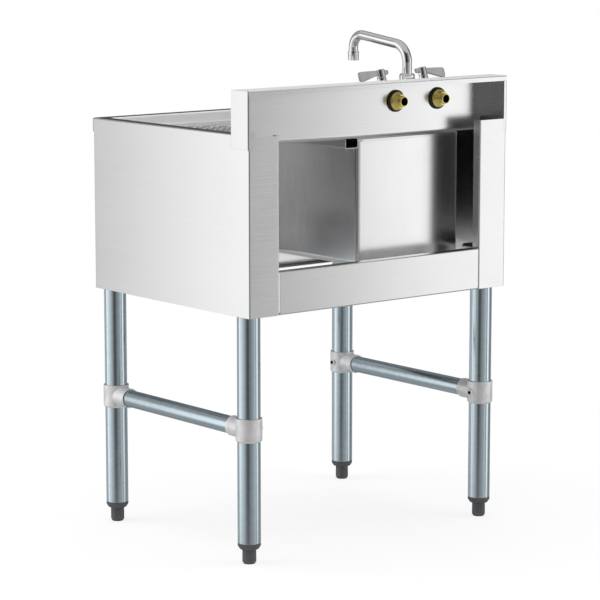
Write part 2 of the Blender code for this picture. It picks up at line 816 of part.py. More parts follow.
def make_foot(corner, material):
    """A bullet foot and its stud, which screws up into the collar."""
    _, x, y = leg_place(corner)
    tip, body = FOOT_TIP_DIAMETER / 2, FOOT_DIAMETER / 2
    rise = FOOT_TAPER
    curve = []
    for step in range(BEND_STEPS + 1):
        turn = math.pi / 2 * step / BEND_STEPS
        curve.append((tip + (body - tip) * math.cos(turn), rise * (1 - math.sin(turn))))
    stud = FOOT_STUD_DIAMETER / 2
    profile = [(0, FOOT_STUD_LENGTH), (stud, FOOT_STUD_LENGTH), (stud, FOOT_HEIGHT)]
    profile += [(body, FOOT_HEIGHT)] + curve + [(0, 0)]
    return turned(f"foot_{corner}", profile, material, upright(x, y), FOOT_SIDES)


def make_tee(corner, material):
    """A cast tee: a sleeve round the leg, a branch for the cross tube and a set screw's boss."""
    side, x, y = leg_place(corner)
    end = CORNERS[corner][1]
    name = f"tee_{corner}"
    outer = LEG_RADIUS + TEE_WALL
    low, high = TEE_CENTRE - TEE_HEIGHT / 2, TEE_CENTRE + TEE_HEIGHT / 2
    sleeve = [
        (0, high),
        (outer, high),
        (outer, low + TEE_CHAMFER),
        (outer - TEE_CHAMFER / 2, low),
        (0, low),
    ]
    tee = turned(name, sleeve, material, upright(x, y), LEG_SIDES)
    centre = Vector((x, y, TEE_CENTRE))
    inward = facing(centre, (0, -end, 0))
    tube = TUBE_DIAMETER / 2 + GAP
    branch = turned_cutter(f"{name}_branch", rod(tube + BRANCH_WALL, 0, TEE_REACH), inward)
    boss_place = facing(centre, (-side, 0, 0))
    boss = turned_cutter(
        f"{name}_boss", rod(SCREW_BOSS / 2, 0, outer + SCREW_BOSS_RISE), boss_place, SMALL_SIDES
    )
    inner = LEG_RADIUS + GAP
    hollow = [
        (0, high + OVERRUN),
        (inner + TEE_RELIEF, high + OVERRUN),
        (inner + TEE_RELIEF, high - TEE_RELIEF),
        (inner, high - 2 * TEE_RELIEF),
        (inner, low - OVERRUN),
        (0, low - OVERRUN),
    ]
    socket = rod(tube, TEE_REACH - TUBE_INSERT - GAP, TEE_REACH + OVERRUN)
    tapped = rod(SCREW_DIAMETER / 2 + GAP, inner / 2, outer + SCREW_BOSS_RISE + OVERRUN)
    join(tee, branch, boss)
    cut(
        tee,
        bore(f"{name}_hollow", hollow, upright(x, y), LEG_SIDES),
        bore(f"{name}_socket", socket, inward),
        bore(f"{name}_tapped", tapped, boss_place, SMALL_SIDES),
    )
    return tee


def make_set_screw(corner, material):
    """The screw that clamps the tee on the leg, with a hexagonal socket in its end."""
    side, x, y = leg_place(corner)
    place = facing(Vector((x, y, TEE_CENTRE)), (-side, 0, 0))
    low = LEG_RADIUS + GAP
    high = LEG_RADIUS + TEE_WALL + SCREW_BOSS_RISE + SCREW_PROUD
    name = f"set_screw_{corner}"
    screw = turned(name, rod(SCREW_DIAMETER / 2, low, high), material, place, SMALL_SIDES)
    key = rod(HEX_KEY / 2, high - HEX_KEY_DEPTH, high + OVERRUN)
    cut(screw, bore(f"{name}_key", key, place, 6))
    return screw


def make_cross_tube(side, material):
    """The tube between the front and the rear tee of one side."""
    sign = SIDES[side]
    start = LEG_FRONT_Y + TEE_REACH - TUBE_INSERT
    stop = LEG_REAR_Y - TEE_REACH + TUBE_INSERT
    place = facing((sign * LEG_X, start, TEE_CENTRE), (0, 1, 0))
    radius = TUBE_DIAMETER / 2
    profile = ring(radius, radius - TUBE_WALL, 0, stop - start)
    return turned(f"cross_tube_{side}", profile, material, place, ROUND_SIDES, closed=True)


def tap_place(sign):
    """A valve's frame: its origin on the faucet's bar, its Z axis up the tilted stem."""
    centre = FAUCET + Vector((sign * SHANK_SPACING / 2, -STANDOFF, 0))
    return Matrix.Translation(centre) @ Matrix.Rotation(STEM_TILT, 4, "X")


def riser_place():
    """The riser's frame, on the faucet's bar."""
    return Matrix.Translation(FAUCET + Vector((0, -STANDOFF, 0)))


def make_faucet_body(material):
    """The cast body: wall flanges, arms, valve housings, the bar between them and the riser."""
    name = "faucet_body"
    half = SHANK_SPACING / 2
    riser = [
        (0, RISER_HEIGHT + RISER_NECK),
        (SPOUT_TUBE / 2, RISER_HEIGHT + RISER_NECK),
        (SPOUT_TUBE / 2, RISER_HEIGHT),
        (RISER_DIAMETER / 2, RISER_HEIGHT),
        (RISER_DIAMETER / 2, OVERRUN),
        (0, OVERRUN),
    ]
    body = turned(name, riser, material, riser_place())
    bar_place = facing(FAUCET + Vector((-half, -STANDOFF, 0)), (1, 0, 0))
    bar = rod(BAR_DIAMETER / 2, OVERRUN, SHANK_SPACING - OVERRUN)
    pieces = [turned_cutter("body_bar", bar, bar_place)]
    holes = []
    housing = HOUSING_DIAMETER / 2
    for tap, sign in TAPS.items():
        flange = [
            (0, -GAP),
            (WALL_FLANGE / 2, -GAP),
            (WALL_FLANGE / 2, -WALL_FLANGE_THICKNESS / 2),
            (ARM_DIAMETER / 2, -WALL_FLANGE_THICKNESS),
            (ARM_DIAMETER / 2, -STANDOFF + GAP),
            (0, -STANDOFF + GAP),
        ]
        pieces.append(turned_cutter(f"body_arm_{tap}", flange, shank_place(sign)))
        barrel = [
            (0, HOUSING_ABOVE),
            (housing, HOUSING_ABOVE),
            (housing, HOUSING_ROUND - HOUSING_BELOW),
            (housing - HOUSING_ROUND, -HOUSING_BELOW),
            (0, -HOUSING_BELOW),
        ]
        pieces.append(turned_cutter(f"body_housing_{tap}", barrel, tap_place(sign)))
        seat = rod(STEM_DIAMETER / 2 + GAP, HOUSING_ABOVE - STEM_SOCKET, HOUSING_ABOVE + OVERRUN)
        holes.append(bore(f"body_stem_hole_{tap}", seat, tap_place(sign), SMALL_SIDES))
        inlet = rod(SHANK_DIAMETER / 2 + GAP, -SHANK_SEAT, OVERRUN)
        holes.append(bore(f"body_inlet_{tap}", inlet, shank_place(sign)))
    join(body, *pieces)
    cut(body, *holes)
    return body


def make_shank(tap, material):
    """The threaded inlet nipple, from its seat in the body out behind the splash."""
    profile = ring(
        SHANK_DIAMETER / 2, SHANK_BORE / 2, GAP - SHANK_SEAT, SHEET + SHANK_TAIL
    )
    place = shank_place(TAPS[tap])
    return turned(f"shank_{tap}", profile, material, place, ROUND_SIDES, closed=True)


def make_washer(tap, material):
    """The rubber washer behind the splash."""
    low = SHEET + GAP
    profile = ring(WASHER_DIAMETER / 2, SHANK_DIAMETER / 2 + GAP, low, low + WASHER_THICKNESS)
    place = shank_place(TAPS[tap])
    return turned(f"shank_washer_{tap}", profile, material, place, ROUND_SIDES, closed=True)


def make_shank_nut(tap, material):
    """The nut behind the splash: a collar against the washer and a cone down to the nipple."""
    low = SHEET + WASHER_THICKNESS + 2 * GAP
    inner = SHANK_DIAMETER / 2 + GAP
    profile = [
        (NUT_SMALL_DIAMETER / 2, low + NUT_LENGTH),
        (NUT_DIAMETER / 2, low + NUT_COLLAR),
        (NUT_DIAMETER / 2, low),
        (inner, low),
        (inner, low + NUT_LENGTH),
    ]
    place = shank_place(TAPS[tap])
    return turned(f"shank_nut_{tap}", profile, material, place, ROUND_SIDES, closed=True)


def make_bonnet(tap, material):
    """The bonnet over the valve, with a shoulder and a neck, bored for the stem."""
    inner = STEM_DIAMETER / 2 + GAP
    top = BONNET_FOOT + BONNET_LENGTH
    base, neck = BONNET_DIAMETER / 2, BONNET_NECK / 2
    shoulder = BONNET_FOOT + BONNET_LENGTH / 2
    profile = [
        (neck, top),
        (neck, shoulder + base - neck),
        (base, shoulder),
        (base, BONNET_FOOT),
        (inner, BONNET_FOOT),
        (inner, top),
    ]
    place = tap_place(TAPS[tap])
    return turned(f"bonnet_{tap}", profile, material, place, ROUND_SIDES, closed=True)


def make_stem(tap, material):
    """The valve stem, tapped at its top for the handle's screw."""
    low = HOUSING_ABOVE - STEM_SOCKET + GAP
    place = tap_place(TAPS[tap])
    name = f"stem_{tap}"
    stem = turned(name, rod(STEM_DIAMETER / 2, low, STEM_TOP), material, place, SMALL_SIDES)
    hole = rod(HANDLE_SCREW / 2 + GAP, STEM_TOP - HANDLE_SCREW_LENGTH, STEM_TOP + OVERRUN)
    cut(stem, bore(f"{name}_hole", hole, place, SMALL_SIDES))
    return stem


def lever_outline():
    """The lever seen along its swing: a flared blade, and a short nose beyond the hub."""
    top = HUB_TOP - HUB_CROWN
    hub = NOSE_END_SHARE * HUB_DIAMETER / 2
    root = top - LEVER_ROOT
    end_top = top - LEVER_FALL_SHARE * LEVER_THICKNESS
    end_low = end_top - LEVER_END
    tip = LEVER_LENGTH
    return [
        (-NOSE_LENGTH, top),
        (-NOSE_LENGTH, top - NOSE_HEIGHT),
        (-hub, top - NOSE_HEIGHT),
        (hub, root),
        (tip - LEVER_FLARE_SHARE * LEVER_LENGTH, (root + end_low) / 2),
        (tip - LEVER_ROUND, end_low),
        (tip - LEVER_TIP_SHARE * LEVER_ROUND, end_low + LEVER_ROUND),
        (tip, end_top - LEVER_ROUND),
        (tip - LEVER_ROUND, end_top),
    ]


def make_lever(name, sign, place):
    """The flat blade of a handle, as a body to join to its hub."""
    bm = bmesh.new()
    rows = []
    for y in (-LEVER_THICKNESS / 2, LEVER_THICKNESS / 2):
        rows.append([bm.verts.new((sign * x, y, z)) for x, z in lever_outline()])
    loft(bm, rows, closed=True)
    for row in rows:
        bm.faces.new(row)
    bmesh.ops.recalc_face_normals(bm, faces=bm.faces)
    lever = add_cutter(name, mesh_from(bm, name))
    lever.matrix_world = place
    bevel(lever, LEVER_EDGE_SHARE * LEVER_THICKNESS, 1)
    return lever


def make_handle(tap, material):
    """A lever handle, pointing outwards when shut. It turns on the stem's axis."""
    name = f"handle_{tap}"
    place = tap_place(TAPS[tap])
    radius = HUB_DIAMETER / 2
    profile = [
        (0, HUB_TOP),
        (radius - HUB_CROWN, HUB_TOP),
        (radius, HUB_TOP - HUB_CROWN),
        (radius, HUB_FOOT),
        (0, HUB_FOOT),
    ]
    handle = turned(name, profile, material, place)
    join(handle, make_lever(f"{name}_lever", TAPS[tap], place))
    head_low = HUB_TOP - HANDLE_SCREW_HEAD_HEIGHT - GAP
    holes = (
        ("grip", STEM_DIAMETER / 2 + GAP, HUB_FOOT - OVERRUN, STEM_TOP + GAP),
        ("screw", HANDLE_SCREW / 2 + GAP, HUB_FOOT, HUB_TOP + OVERRUN),
        ("head", HANDLE_SCREW_HEAD / 2 + GAP, head_low, HUB_TOP + OVERRUN),
    )
    for label, size, low, high in holes:
        cut(handle, bore(f"{name}_{label}", rod(size, low, high), place, SMALL_SIDES))
    return handle


def make_handle_screw(tap, material):
    """The screw that holds the handle on its stem."""
    head = HUB_TOP - HANDLE_SCREW_HEAD_HEIGHT
    tip = STEM_TOP - HANDLE_SCREW_LENGTH + GAP
    profile = [
        (0, HUB_TOP),
        (HANDLE_SCREW_HEAD / 2, HUB_TOP),
        (HANDLE_SCREW_HEAD / 2, head),
        (HANDLE_SCREW / 2, head),
        (HANDLE_SCREW / 2, tip),
        (0, tip),
    ]
    name = f"handle_screw_{tap}"
    return turned(name, profile, material, tap_place(TAPS[tap]), SMALL_SIDES)


def make_spout_nut(material):
    """The nut that holds the swivelling spout on the riser."""
    low = RISER_HEIGHT + GAP
    top = SPOUT_NUT_TOP
    outer, inner = SPOUT_NUT_DIAMETER / 2, SPOUT_TUBE / 2 + GAP
    profile = [
        (outer - BEND, top),
        (outer, top - BEND),
        (outer, low),
        (inner, low),
        (inner, top),
    ]
    return turned("spout_nut", profile, material, riser_place(), ROUND_SIDES, closed=True)


def bend_points(before, corner, after, radius, steps):
    """The arc that rounds one corner of a path."""
    return rounded_path([before, corner, after], radius, steps)[1:-1]


def spout_path():
    """The spout's centre line in its swing plane: (forward, up) from the riser's foot."""
    foot = (0, SPOUT_FOOT)
    shoulder = (0, SPOUT_SHOULDER)
    crest = (SPOUT_REACH, SPOUT_CREST)
    outlet = (SPOUT_REACH, SPOUT_OUTLET + AERATOR_CUP)
    path = [Vector(foot)]
    path += bend_points(foot, shoulder, crest, SPOUT_REAR_BEND, 2 * BEND_STEPS)
    path += bend_points(shoulder, crest, outlet, SPOUT_FRONT_BEND, 3 * BEND_STEPS)
    path.append(Vector(outlet))
    return path


def make_spout(material):
    """The swing spout: an open tube bent along its path. It turns on the riser's axis."""
    line = bpy.data.curves.new("spout", "CURVE")
    line.dimensions = "3D"
    line.bevel_depth = SPOUT_TUBE / 2
    line.bevel_resolution = SPOUT_BEVEL_STEPS
    line.use_fill_caps = False
    path = spout_path()
    spline = line.splines.new("POLY")
    spline.points.add(len(path) - 1)
    for point, (forward, up) in zip(spline.points, path):
        point.co = (0, -forward, up, 1)
    spout = add_object("spout", line, material)
    spout.matrix_world = riser_place()
    solidify(spout, SPOUT_TUBE_WALL)
    return spout


def make_aerator(material):
    """The aerator cup on the spout's end, open below."""
    outer, seat, mouth = AERATOR_DIAMETER / 2, SPOUT_TUBE / 2 + GAP, AERATOR_MOUTH / 2
    low, top = SPOUT_OUTLET, SPOUT_OUTLET + AERATOR_HEIGHT
    shelf = SPOUT_OUTLET + AERATOR_CUP - GAP
    rim = (outer - seat) / 2
    profile = [
        (seat + rim, top),
        (outer, top - rim),
        (outer, low + rim),
        (outer - rim, low),
        (mouth, low),
        (mouth, shelf),
        (seat, shelf),
        (seat, top),
    ]
    place = riser_place() @ Matrix.Translation((0, -SPOUT_REACH, 0))
    return turned("aerator", profile, material, place, ROUND_SIDES, closed=True)


def make_drain(steel, rubber, brass):
    """The strainer through the bowl's floor, with its gasket and lock nut below."""
    floor = BOWL_FLOOR - BOWL_FLOOR_FALL
    place = Matrix.Translation((BOWL_CENTRE.x, BOWL_CENTRE.y, floor))
    body, inside = DRAIN_BODY / 2, DRAIN_BORE / 2
    top = DRAIN_FLANGE_THICKNESS + GAP
    profile = [
        (inside + DRAIN_FLANGE_THICKNESS, top),
        (DRAIN_FLANGE / 2, GAP + DRAIN_FLANGE_THICKNESS / 2),
        (DRAIN_FLANGE / 2, GAP),
        (body, GAP),
        (body, -DRAIN_LENGTH),
        (inside, -DRAIN_LENGTH),
        (inside, GAP),
    ]
    strainer = turned("drain_strainer", profile, steel, place, ROUND_SIDES, closed=True)
    reach = inside + (body - inside) / 2
    half = DRAIN_BAR / 2
    for label, size in (("x", (reach, half)), ("y", (half, reach))):
        bar = box_mesh(
            f"drain_bar_{label}", (-size[0], -size[1], -DRAIN_BAR), (size[0], size[1], 0)
        )
        bar_object = add_cutter(f"drain_bar_{label}", bar)
        bar_object.matrix_world = place
        join(strainer, bar_object)
    inner = body + 2 * GAP
    under = -SHEET - GAP
    gasket = ring(DRAIN_GASKET / 2, inner, under - DRAIN_GASKET_THICKNESS, under)
    turned("drain_gasket", gasket, rubber, place, ROUND_SIDES, closed=True)
    nut_top = under - DRAIN_GASKET_THICKNESS - GAP
    corner = DRAIN_NUT_FLATS / math.sqrt(3)
    nut = turned("drain_nut", rod(corner, nut_top - DRAIN_NUT_HEIGHT, nut_top), brass, place, 6)
    hole = rod(inner, nut_top - DRAIN_NUT_HEIGHT - OVERRUN, nut_top + OVERRUN)
    cut(nut, bore("drain_nut_hole", hole, place))


def make_cabinet(steel):
    """The folded top, the bowl and the sheets below them."""
    make_top(steel)
    for side, sign in SIDES.items():
        make_end_cap(f"splash_end_cap_{side}", sign, steel)
        make_side_panel(f"side_panel_{side}", sign, steel)
    make_bowl(steel)
    make_apron(steel)
    make_rail(steel)
    make_channel(steel)


def make_stand(steel, galvanised, cast, plastic, black_steel):
    """Each leg with its pieces, and the cross tubes."""
    for corner in CORNERS:
        make_socket(corner, steel)
        make_leg(corner, galvanised)
        make_collar(corner, plastic)
        make_foot(corner, plastic)
        make_tee(corner, cast)
        make_set_screw(corner, black_steel)
    for side in SIDES:
        make_cross_tube(side, galvanised)


def make_faucet(chrome, brass, rubber):
    """The body, both valves with their shanks and handles, and the spout."""
    make_faucet_body(chrome)
    for tap in TAPS:
        make_shank(tap, brass)
        make_washer(tap, rubber)
        make_shank_nut(tap, brass)
        make_bonnet(tap, chrome)
        make_stem(tap, brass)
        make_handle(tap, chrome)
        make_handle_screw(tap, chrome)
    make_spout_nut(chrome)
    make_spout(chrome)
    make_aerator(chrome)


def main():
    """Make the finishes and every part."""
    steel = finish("stainless_steel", (0.72, 0.72, 0.73), 0.28, 1.0)
    galvanised = finish("galvanised_steel", (0.52, 0.57, 0.60), 0.30, 1.0)
    cast = finish("cast_aluminium", (0.74, 0.75, 0.76), 0.45, 0.9)
    plastic = finish("grey_plastic", (0.09, 0.095, 0.10), 0.5, 0.0)
    black_steel = finish("black_steel", (0.05, 0.05, 0.05), 0.4, 0.8)
    chrome = finish("chrome", (0.80, 0.80, 0.81), 0.08, 1.0)
    brass = finish("brass", (0.62, 0.50, 0.20), 0.25, 1.0)
    rubber = finish("black_rubber", (0.02, 0.02, 0.02), 0.7, 0.0)
    make_cabinet(steel)
    make_stand(steel, galvanised, cast, plastic, black_steel)
    make_faucet(chrome, brass, rubber)
    make_drain(steel, rubber, brass)


clear_scene()
PARTS = new_collection("underbar_sink")
CUTTERS = new_collection("cutters", hidden=True)
main()
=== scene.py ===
"""Looks of the underbar sink: fine sheet metal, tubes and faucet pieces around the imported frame,
with their finishes, in a plain pale studio.

Metres, +Z up. The front faces -Y, the bowl is at -X and the drainboard at +X. Each shape is a
function of two parameters on a numpy grid, or a profile carried along a path.
"""

import logging
import math
from dataclasses import dataclass, field
from enum import Enum
from typing import Iterable, Sequence, Union

import bmesh
import bpy
import numpy as np
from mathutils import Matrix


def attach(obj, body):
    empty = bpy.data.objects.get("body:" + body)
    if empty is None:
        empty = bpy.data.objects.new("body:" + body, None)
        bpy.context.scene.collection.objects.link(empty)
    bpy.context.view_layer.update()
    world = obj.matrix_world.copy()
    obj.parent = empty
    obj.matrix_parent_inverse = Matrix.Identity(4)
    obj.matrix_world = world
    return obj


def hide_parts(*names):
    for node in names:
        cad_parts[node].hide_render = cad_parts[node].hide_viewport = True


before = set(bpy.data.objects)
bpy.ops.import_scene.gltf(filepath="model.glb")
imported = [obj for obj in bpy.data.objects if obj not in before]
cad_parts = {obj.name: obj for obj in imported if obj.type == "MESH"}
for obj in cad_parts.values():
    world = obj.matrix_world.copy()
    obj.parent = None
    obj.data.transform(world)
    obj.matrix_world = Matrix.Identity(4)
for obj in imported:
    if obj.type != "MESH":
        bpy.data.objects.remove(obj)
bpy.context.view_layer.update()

LOG = logging.getLogger("underbar_sink")
Array = np.ndarray

MM = 0.001


def mm(*sizes: float) -> tuple:
    """Sizes in millimetres, as metres."""
    return tuple(size * MM for size in sizes)


GAP = 0.3 * MM
SHEET = 1.2 * MM
BEND = 3.0 * MM
EDGE = 0.25 * MM
TINY = 0.01 * MM
WELD = 0.001 * MM
SPLASH_Y = 186.45 * MM
SPLASH_TOP = 838.2 * MM
RIM = 762.0 * MM
DECK = 736.6 * MM
SKIRT_LOW = 736.6 * MM
HALF_WIDTH = 304.8 * MM
HALF_DEPTH = 234.95 * MM
CABINET_LOW = 444.5 * MM
RAIL_TOP = 520.7 * MM
CAP_FLANGE = 7.5 * MM
BOWL_BOX = mm(-245.7, 2.0, -190.05, 166.95)
BOWL_CORNER = 7.0 * MM
FAUCET = np.array((-121.85, 186.45, 800.1)) * MM
STANDOFF = 25.0 * MM
TAPS = {"hot": -1, "cold": 1}
SIDES = {"left": -1, "right": 1}
CORNERS = {
    "front_left": (-1, -1), "front_right": (1, -1), "rear_left": (-1, 1), "rear_right": (1, 1),
}


# Shapes


class FoldLine(Enum):
    """Which way a sheet's fold runs, as the axes of its path's two coordinates and of the fold."""

    UPRIGHT = "yxz"
    ACROSS = "yzx"
    FORE_AND_AFT = "xzy"


def unit(vectors: Array) -> Array:
    """Vectors divided by their lengths."""
    return vectors / np.linalg.norm(vectors, axis=-1, keepdims=True)


def rounded(points: Sequence, radii: Union[float, Sequence], steps: int = 6, hold: float = 0.8 * MM,
            closed: bool = False) -> Array:
    """A 2D path whose corners are arcs.

    An arc's centre lies on its corner's bisector, radius / sin(half angle) away, and its points
    turn evenly from one leg to the other. A held point on each leg keeps flats flat in shading.

    Args:
        points: Corners of the path, (n, 2).
        radii: One radius, or one for each rounded corner.
        steps: Facets of an arc.
        hold: Distance of the held points from the arc's ends.
        closed: Whether the path is a loop, all of whose corners are rounded.

    Returns:
        The path's points, (m, 2).
    """
    p = np.asarray(points, float)
    if closed:
        before, corner, after = np.roll(p, 1, 0), p, np.roll(p, -1, 0)
    else:
        before, corner, after = p[:-2], p[1:-1], p[2:]
    back, on = unit(before - corner), unit(after - corner)
    half = 0.5 * np.arccos(np.clip((back * on).sum(1), -1, 1))
    radius = np.broadcast_to(np.asarray(radii, float), half.shape)
    reach = radius / np.tan(half)
    centre = corner + unit(back + on) * (radius / np.sin(half))[:, None]
    start, stop = corner + back * reach[:, None], corner + on * reach[:, None]
    sweep = (math.pi - 2 * half)[:, None]
    turn = np.linspace(0, 1, steps + 1) * sweep
    a, b = (start - centre)[:, None], (stop - centre)[:, None]
    arcs = a * np.sin(sweep - turn)[..., None] + b * np.sin(turn)[..., None]
    arcs = centre[:, None] + arcs / np.sin(sweep)[..., None]
    held = np.concatenate(
        [(start + back * hold)[:, None], arcs, (stop + on * hold)[:, None]], 1
    ).reshape(-1, 2)
    return held if closed else np.concatenate([p[:1], held, p[-1:]])


def circle(count: int) -> Array:
    """Unit vectors round a circle, (count, 2)."""
    turn = np.arange(count) * 2 * math.pi / count
    return np.stack([np.cos(turn), np.sin(turn)], 1)


def hexagon(flat: float, sides: int) -> Array:
    """The distance from a hexagon's middle to its edge at even angles: flat / cos, six times."""
    turn = np.arange(sides) * 2 * math.pi / sides
    return flat / np.cos((turn + math.pi / 6) % (math.pi / 3) - math.pi / 6)


def thread_wave(height: Array, pitch: float, sides: int) -> Array:
    """A screw thread's depth from 0 to 1, (rows, sides): a triangle wave of height plus turn."""
    return np.abs(((height[:, None] / pitch + np.arange(sides) / sides) % 1) * 2 - 1)


def rings(radius: Array, height: Array, sides: int) -> Array:
    """Rows of points round the Z axis.

    Args:
        radius: One radius for each row, or one for each point, (rows, sides).
        height: One height for each row, or one for each point.
        sides: The number of points in a row.

    Returns:
        The rows, (rows, sides, 3).
    """
    c, s = circle(sides).T
    radius, height = (np.reshape(values, (len(values), -1)) for values in (radius, height))
    return np.stack(np.broadcast_arrays(radius * c, radius * s, height), -1)


def at_height(plan: Array, height: float) -> Array:
    """Plan points, (n, 2), lifted to a height, (n, 3)."""
    return np.column_stack([plan, np.full(len(plan), height)])


def rod(radius: float, low: float, high: float) -> Array:
    """The profile of a rod with eased edges, from its top pole to its bottom pole."""
    return rounded([(0, high), (radius, high), (radius, low), (0, low)], 0.4 * MM, 3, 0.4 * MM)


def tube(outer: float, inner: float, low: float, high: float, edge: float = 0.3 * MM) -> Array:
    """The closed profile of a tube with eased edges."""
    corners = [(outer, high), (outer, low), (inner, low), (inner, high)]
    return rounded(corners, edge, 2, edge, closed=True)


def outline_box(left: float, right: float, front: float, back: float, radius: float,
                steps: int) -> Array:
    """A rectangle with round corners, anticlockwise, (n, 2)."""
    corners = [(left, back), (left, front), (right, front), (right, back)]
    return rounded(corners, radius, steps, 1 * MM, closed=True)


def placed(origin: Sequence, axis: Sequence = (0, 0, 1)) -> Array:
    """A 4x4 placement whose Z axis points along an axis and whose X axis stays level.

    Args:
        origin: Where the placement stands.
        axis: The direction of its Z axis.

    Returns:
        The matrix.
    """
    z = unit(np.asarray(axis, float))
    side = np.array((1.0, 0, 0)) if abs(z[0]) < 0.9 else np.array((0, 1.0, 0))
    y = unit(np.cross(z, side))
    matrix = np.eye(4)
    matrix[:3, :3] = np.stack([np.cross(y, z), y, z], 1)
    matrix[:3, 3] = origin
    return matrix


def moved(points: Array, place: Array) -> Array:
    """Points carried into a placement."""
    return points @ place[:3, :3].T + place[:3, 3]


@dataclass
class Surface:
    """A growing mesh: grids and polygons of points, joined where their points meet."""

    points: list = field(default_factory=list)
    faces: list = field(default_factory=list)
    count: int = 0

    def _take(self, points: Array) -> int:
        """Store points.

        Args:
            points: The points, (..., 3).

        Returns:
            The index of the first.
        """
        first = self.count
        self.points.append(points.reshape(-1, 3))
        self.count += len(self.points[-1])
        return first

    def grid(self, rows: Array, around: bool = False, along: bool = False,
             caps: bool = False) -> "Surface":
        """Quads between neighbouring rows of an (n, m, 3) grid.

        Args:
            rows: The grid.
            around: Whether each row is a loop.
            along: Whether the last row joins the first.
            caps: Whether the first and last rows are filled.

        Returns:
            This surface.
        """
        n, m = rows.shape[:2]
        first = self._take(rows)
        i = np.arange(n if along else n - 1)[:, None]
        j = np.arange(m if around else m - 1)[None, :]
        up, side = (i + 1) % n, (j + 1) % m
        quads = np.stack([i * m + j, i * m + side, up * m + side, up * m + j], -1)
        self.faces += (first + quads.reshape(-1, 4)).tolist()
        if caps:
            ends = np.arange(m)
            self.faces.append((first + ends[::-1]).tolist())
            self.faces.append((first + (n - 1) * m + ends).tolist())
        return self

    def polygon(self, outline: Array) -> "Surface":
        """One flat face.

        Args:
            outline: Its corners, (n, 3).

        Returns:
            This surface.
        """
        first = self._take(outline)
        self.faces.append(list(range(first, first + len(outline))))
        return self

    def turned(self, profile: Array, place: Array, sides: int = 48,
               closed: bool = False) -> "Surface":
        """A profile of (radius, height) turned about the Z axis of a placement."""
        rows = rings(profile[:, 0], profile[:, 1], sides)
        return self.grid(moved(rows, place), around=True, along=closed)

    def add(self, other: "Surface") -> "Surface":
        """Take over the points and faces of another surface.

        Args:
            other: The other surface.

        Returns:
            This surface.
        """
        first = self.count
        self.points += other.points
        self.count += other.count
        self.faces += [[first + k for k in face] for face in other.faces]
        return self

    def mesh(self, name: str, sharp: float, up: int = 0) -> bpy.types.Mesh:
        """The Blender mesh, with doubles merged, normals outwards and its open edges sharp.

        Args:
            name: The mesh's name.
            sharp: The least angle of a sharp edge, in degrees.
            up: For an open sheet, 1 or -1 where it faces up or down on the whole.

        Returns:
            The mesh.
        """
        made = bpy.data.meshes.new(name)
        made.from_pydata(np.concatenate(self.points).tolist(), [], self.faces)
        bm = bmesh.new()
        bm.from_mesh(made)
        bmesh.ops.remove_doubles(bm, verts=bm.verts, dist=WELD)
        bmesh.ops.recalc_face_normals(bm, faces=bm.faces)
        if up * sum(f.normal.z * f.calc_area() for f in bm.faces) < 0:
            bmesh.ops.reverse_faces(bm, faces=bm.faces)
        bm.to_mesh(made)
        bm.free()
        made.shade_smooth()
        made.set_sharp_from_angle(angle=math.radians(sharp))
        uses = np.empty(len(made.loops), np.int32)
        made.loops.foreach_get("edge_index", uses)
        crisp = np.empty(len(made.edges), bool)
        made.edges.foreach_get("use_edge_sharp", crisp)
        crisp |= np.bincount(uses, minlength=len(crisp)) == 1
        made.edges.foreach_set("use_edge_sharp", crisp)
        return made


def folded(path: Array, line: FoldLine, low: Union[float, Array], high: Union[float, Array],
           sign: int = 1) -> Surface:
    """A bent sheet: the path is its outer face, and the wall lies on the path's left.

    Each path point carries the cross-section of the sheet, a rectangle with eased edges, pushed
    along the mitre of its two legs: the sum of their normals over one plus their dot product.

    Args:
        path: The outer face, (n, 2).
        line: The axes of the path and of the fold.
        low: Where the sheet starts along the fold, one value or one for each path point.
        high: Where it ends.
        sign: 1, or -1 for the mirror image in X.

    Returns:
        The closed surface.
    """
    leg = unit(np.diff(path, axis=0))
    normal = np.stack([-leg[:, 1], leg[:, 0]], 1)
    one, two = np.vstack([normal[:1], normal]), np.vstack([normal, normal[-1:]])
    mitre = (one + two) / (1 + (one * two).sum(1, keepdims=True))
    low = np.broadcast_to(low, len(path))[:, None]
    high = np.broadcast_to(high, len(path))[:, None]
    share = np.array([0, 0, 1, 1, 1, 1, 0, 0])
    ease = np.array([0, 1, -1, 0, 0, -1, 1, 0]) * EDGE
    deep = np.array([EDGE, 0, 0, EDGE, SHEET - EDGE, SHEET, SHEET, SHEET - EDGE])
    across, over = path[:, :1] + mitre[:, :1] * deep, path[:, 1:] + mitre[:, 1:] * deep
    points = np.empty((len(path), len(deep), 3))
    for axis, values in zip(line.value, (across, over, low + (high - low) * share + ease)):
        points[..., "xyz".index(axis)] = values
    points[..., 0] *= sign
    return Surface().grid(points, around=True, caps=True)


def swept(path: Array, side: Sequence, radius: float, sides: int) -> Surface:
    """A round tube along a flat path: circles spanned by the side vector and the path's normal.

    Args:
        path: The centre line, (n, 3), in a plane square to side.
        side: The unit vector square to that plane.
        radius: The tube's radius.
        sides: Facets round the tube.

    Returns:
        The closed surface.
    """
    side = np.asarray(side, float)
    up = np.cross(unit(np.gradient(path, axis=0)), side)
    ring = circle(sides)
    rows = path[:, None] + radius * (ring[:, :1] * side + ring[:, 1:] * up[:, None])
    return Surface().grid(rows, around=True, caps=True)


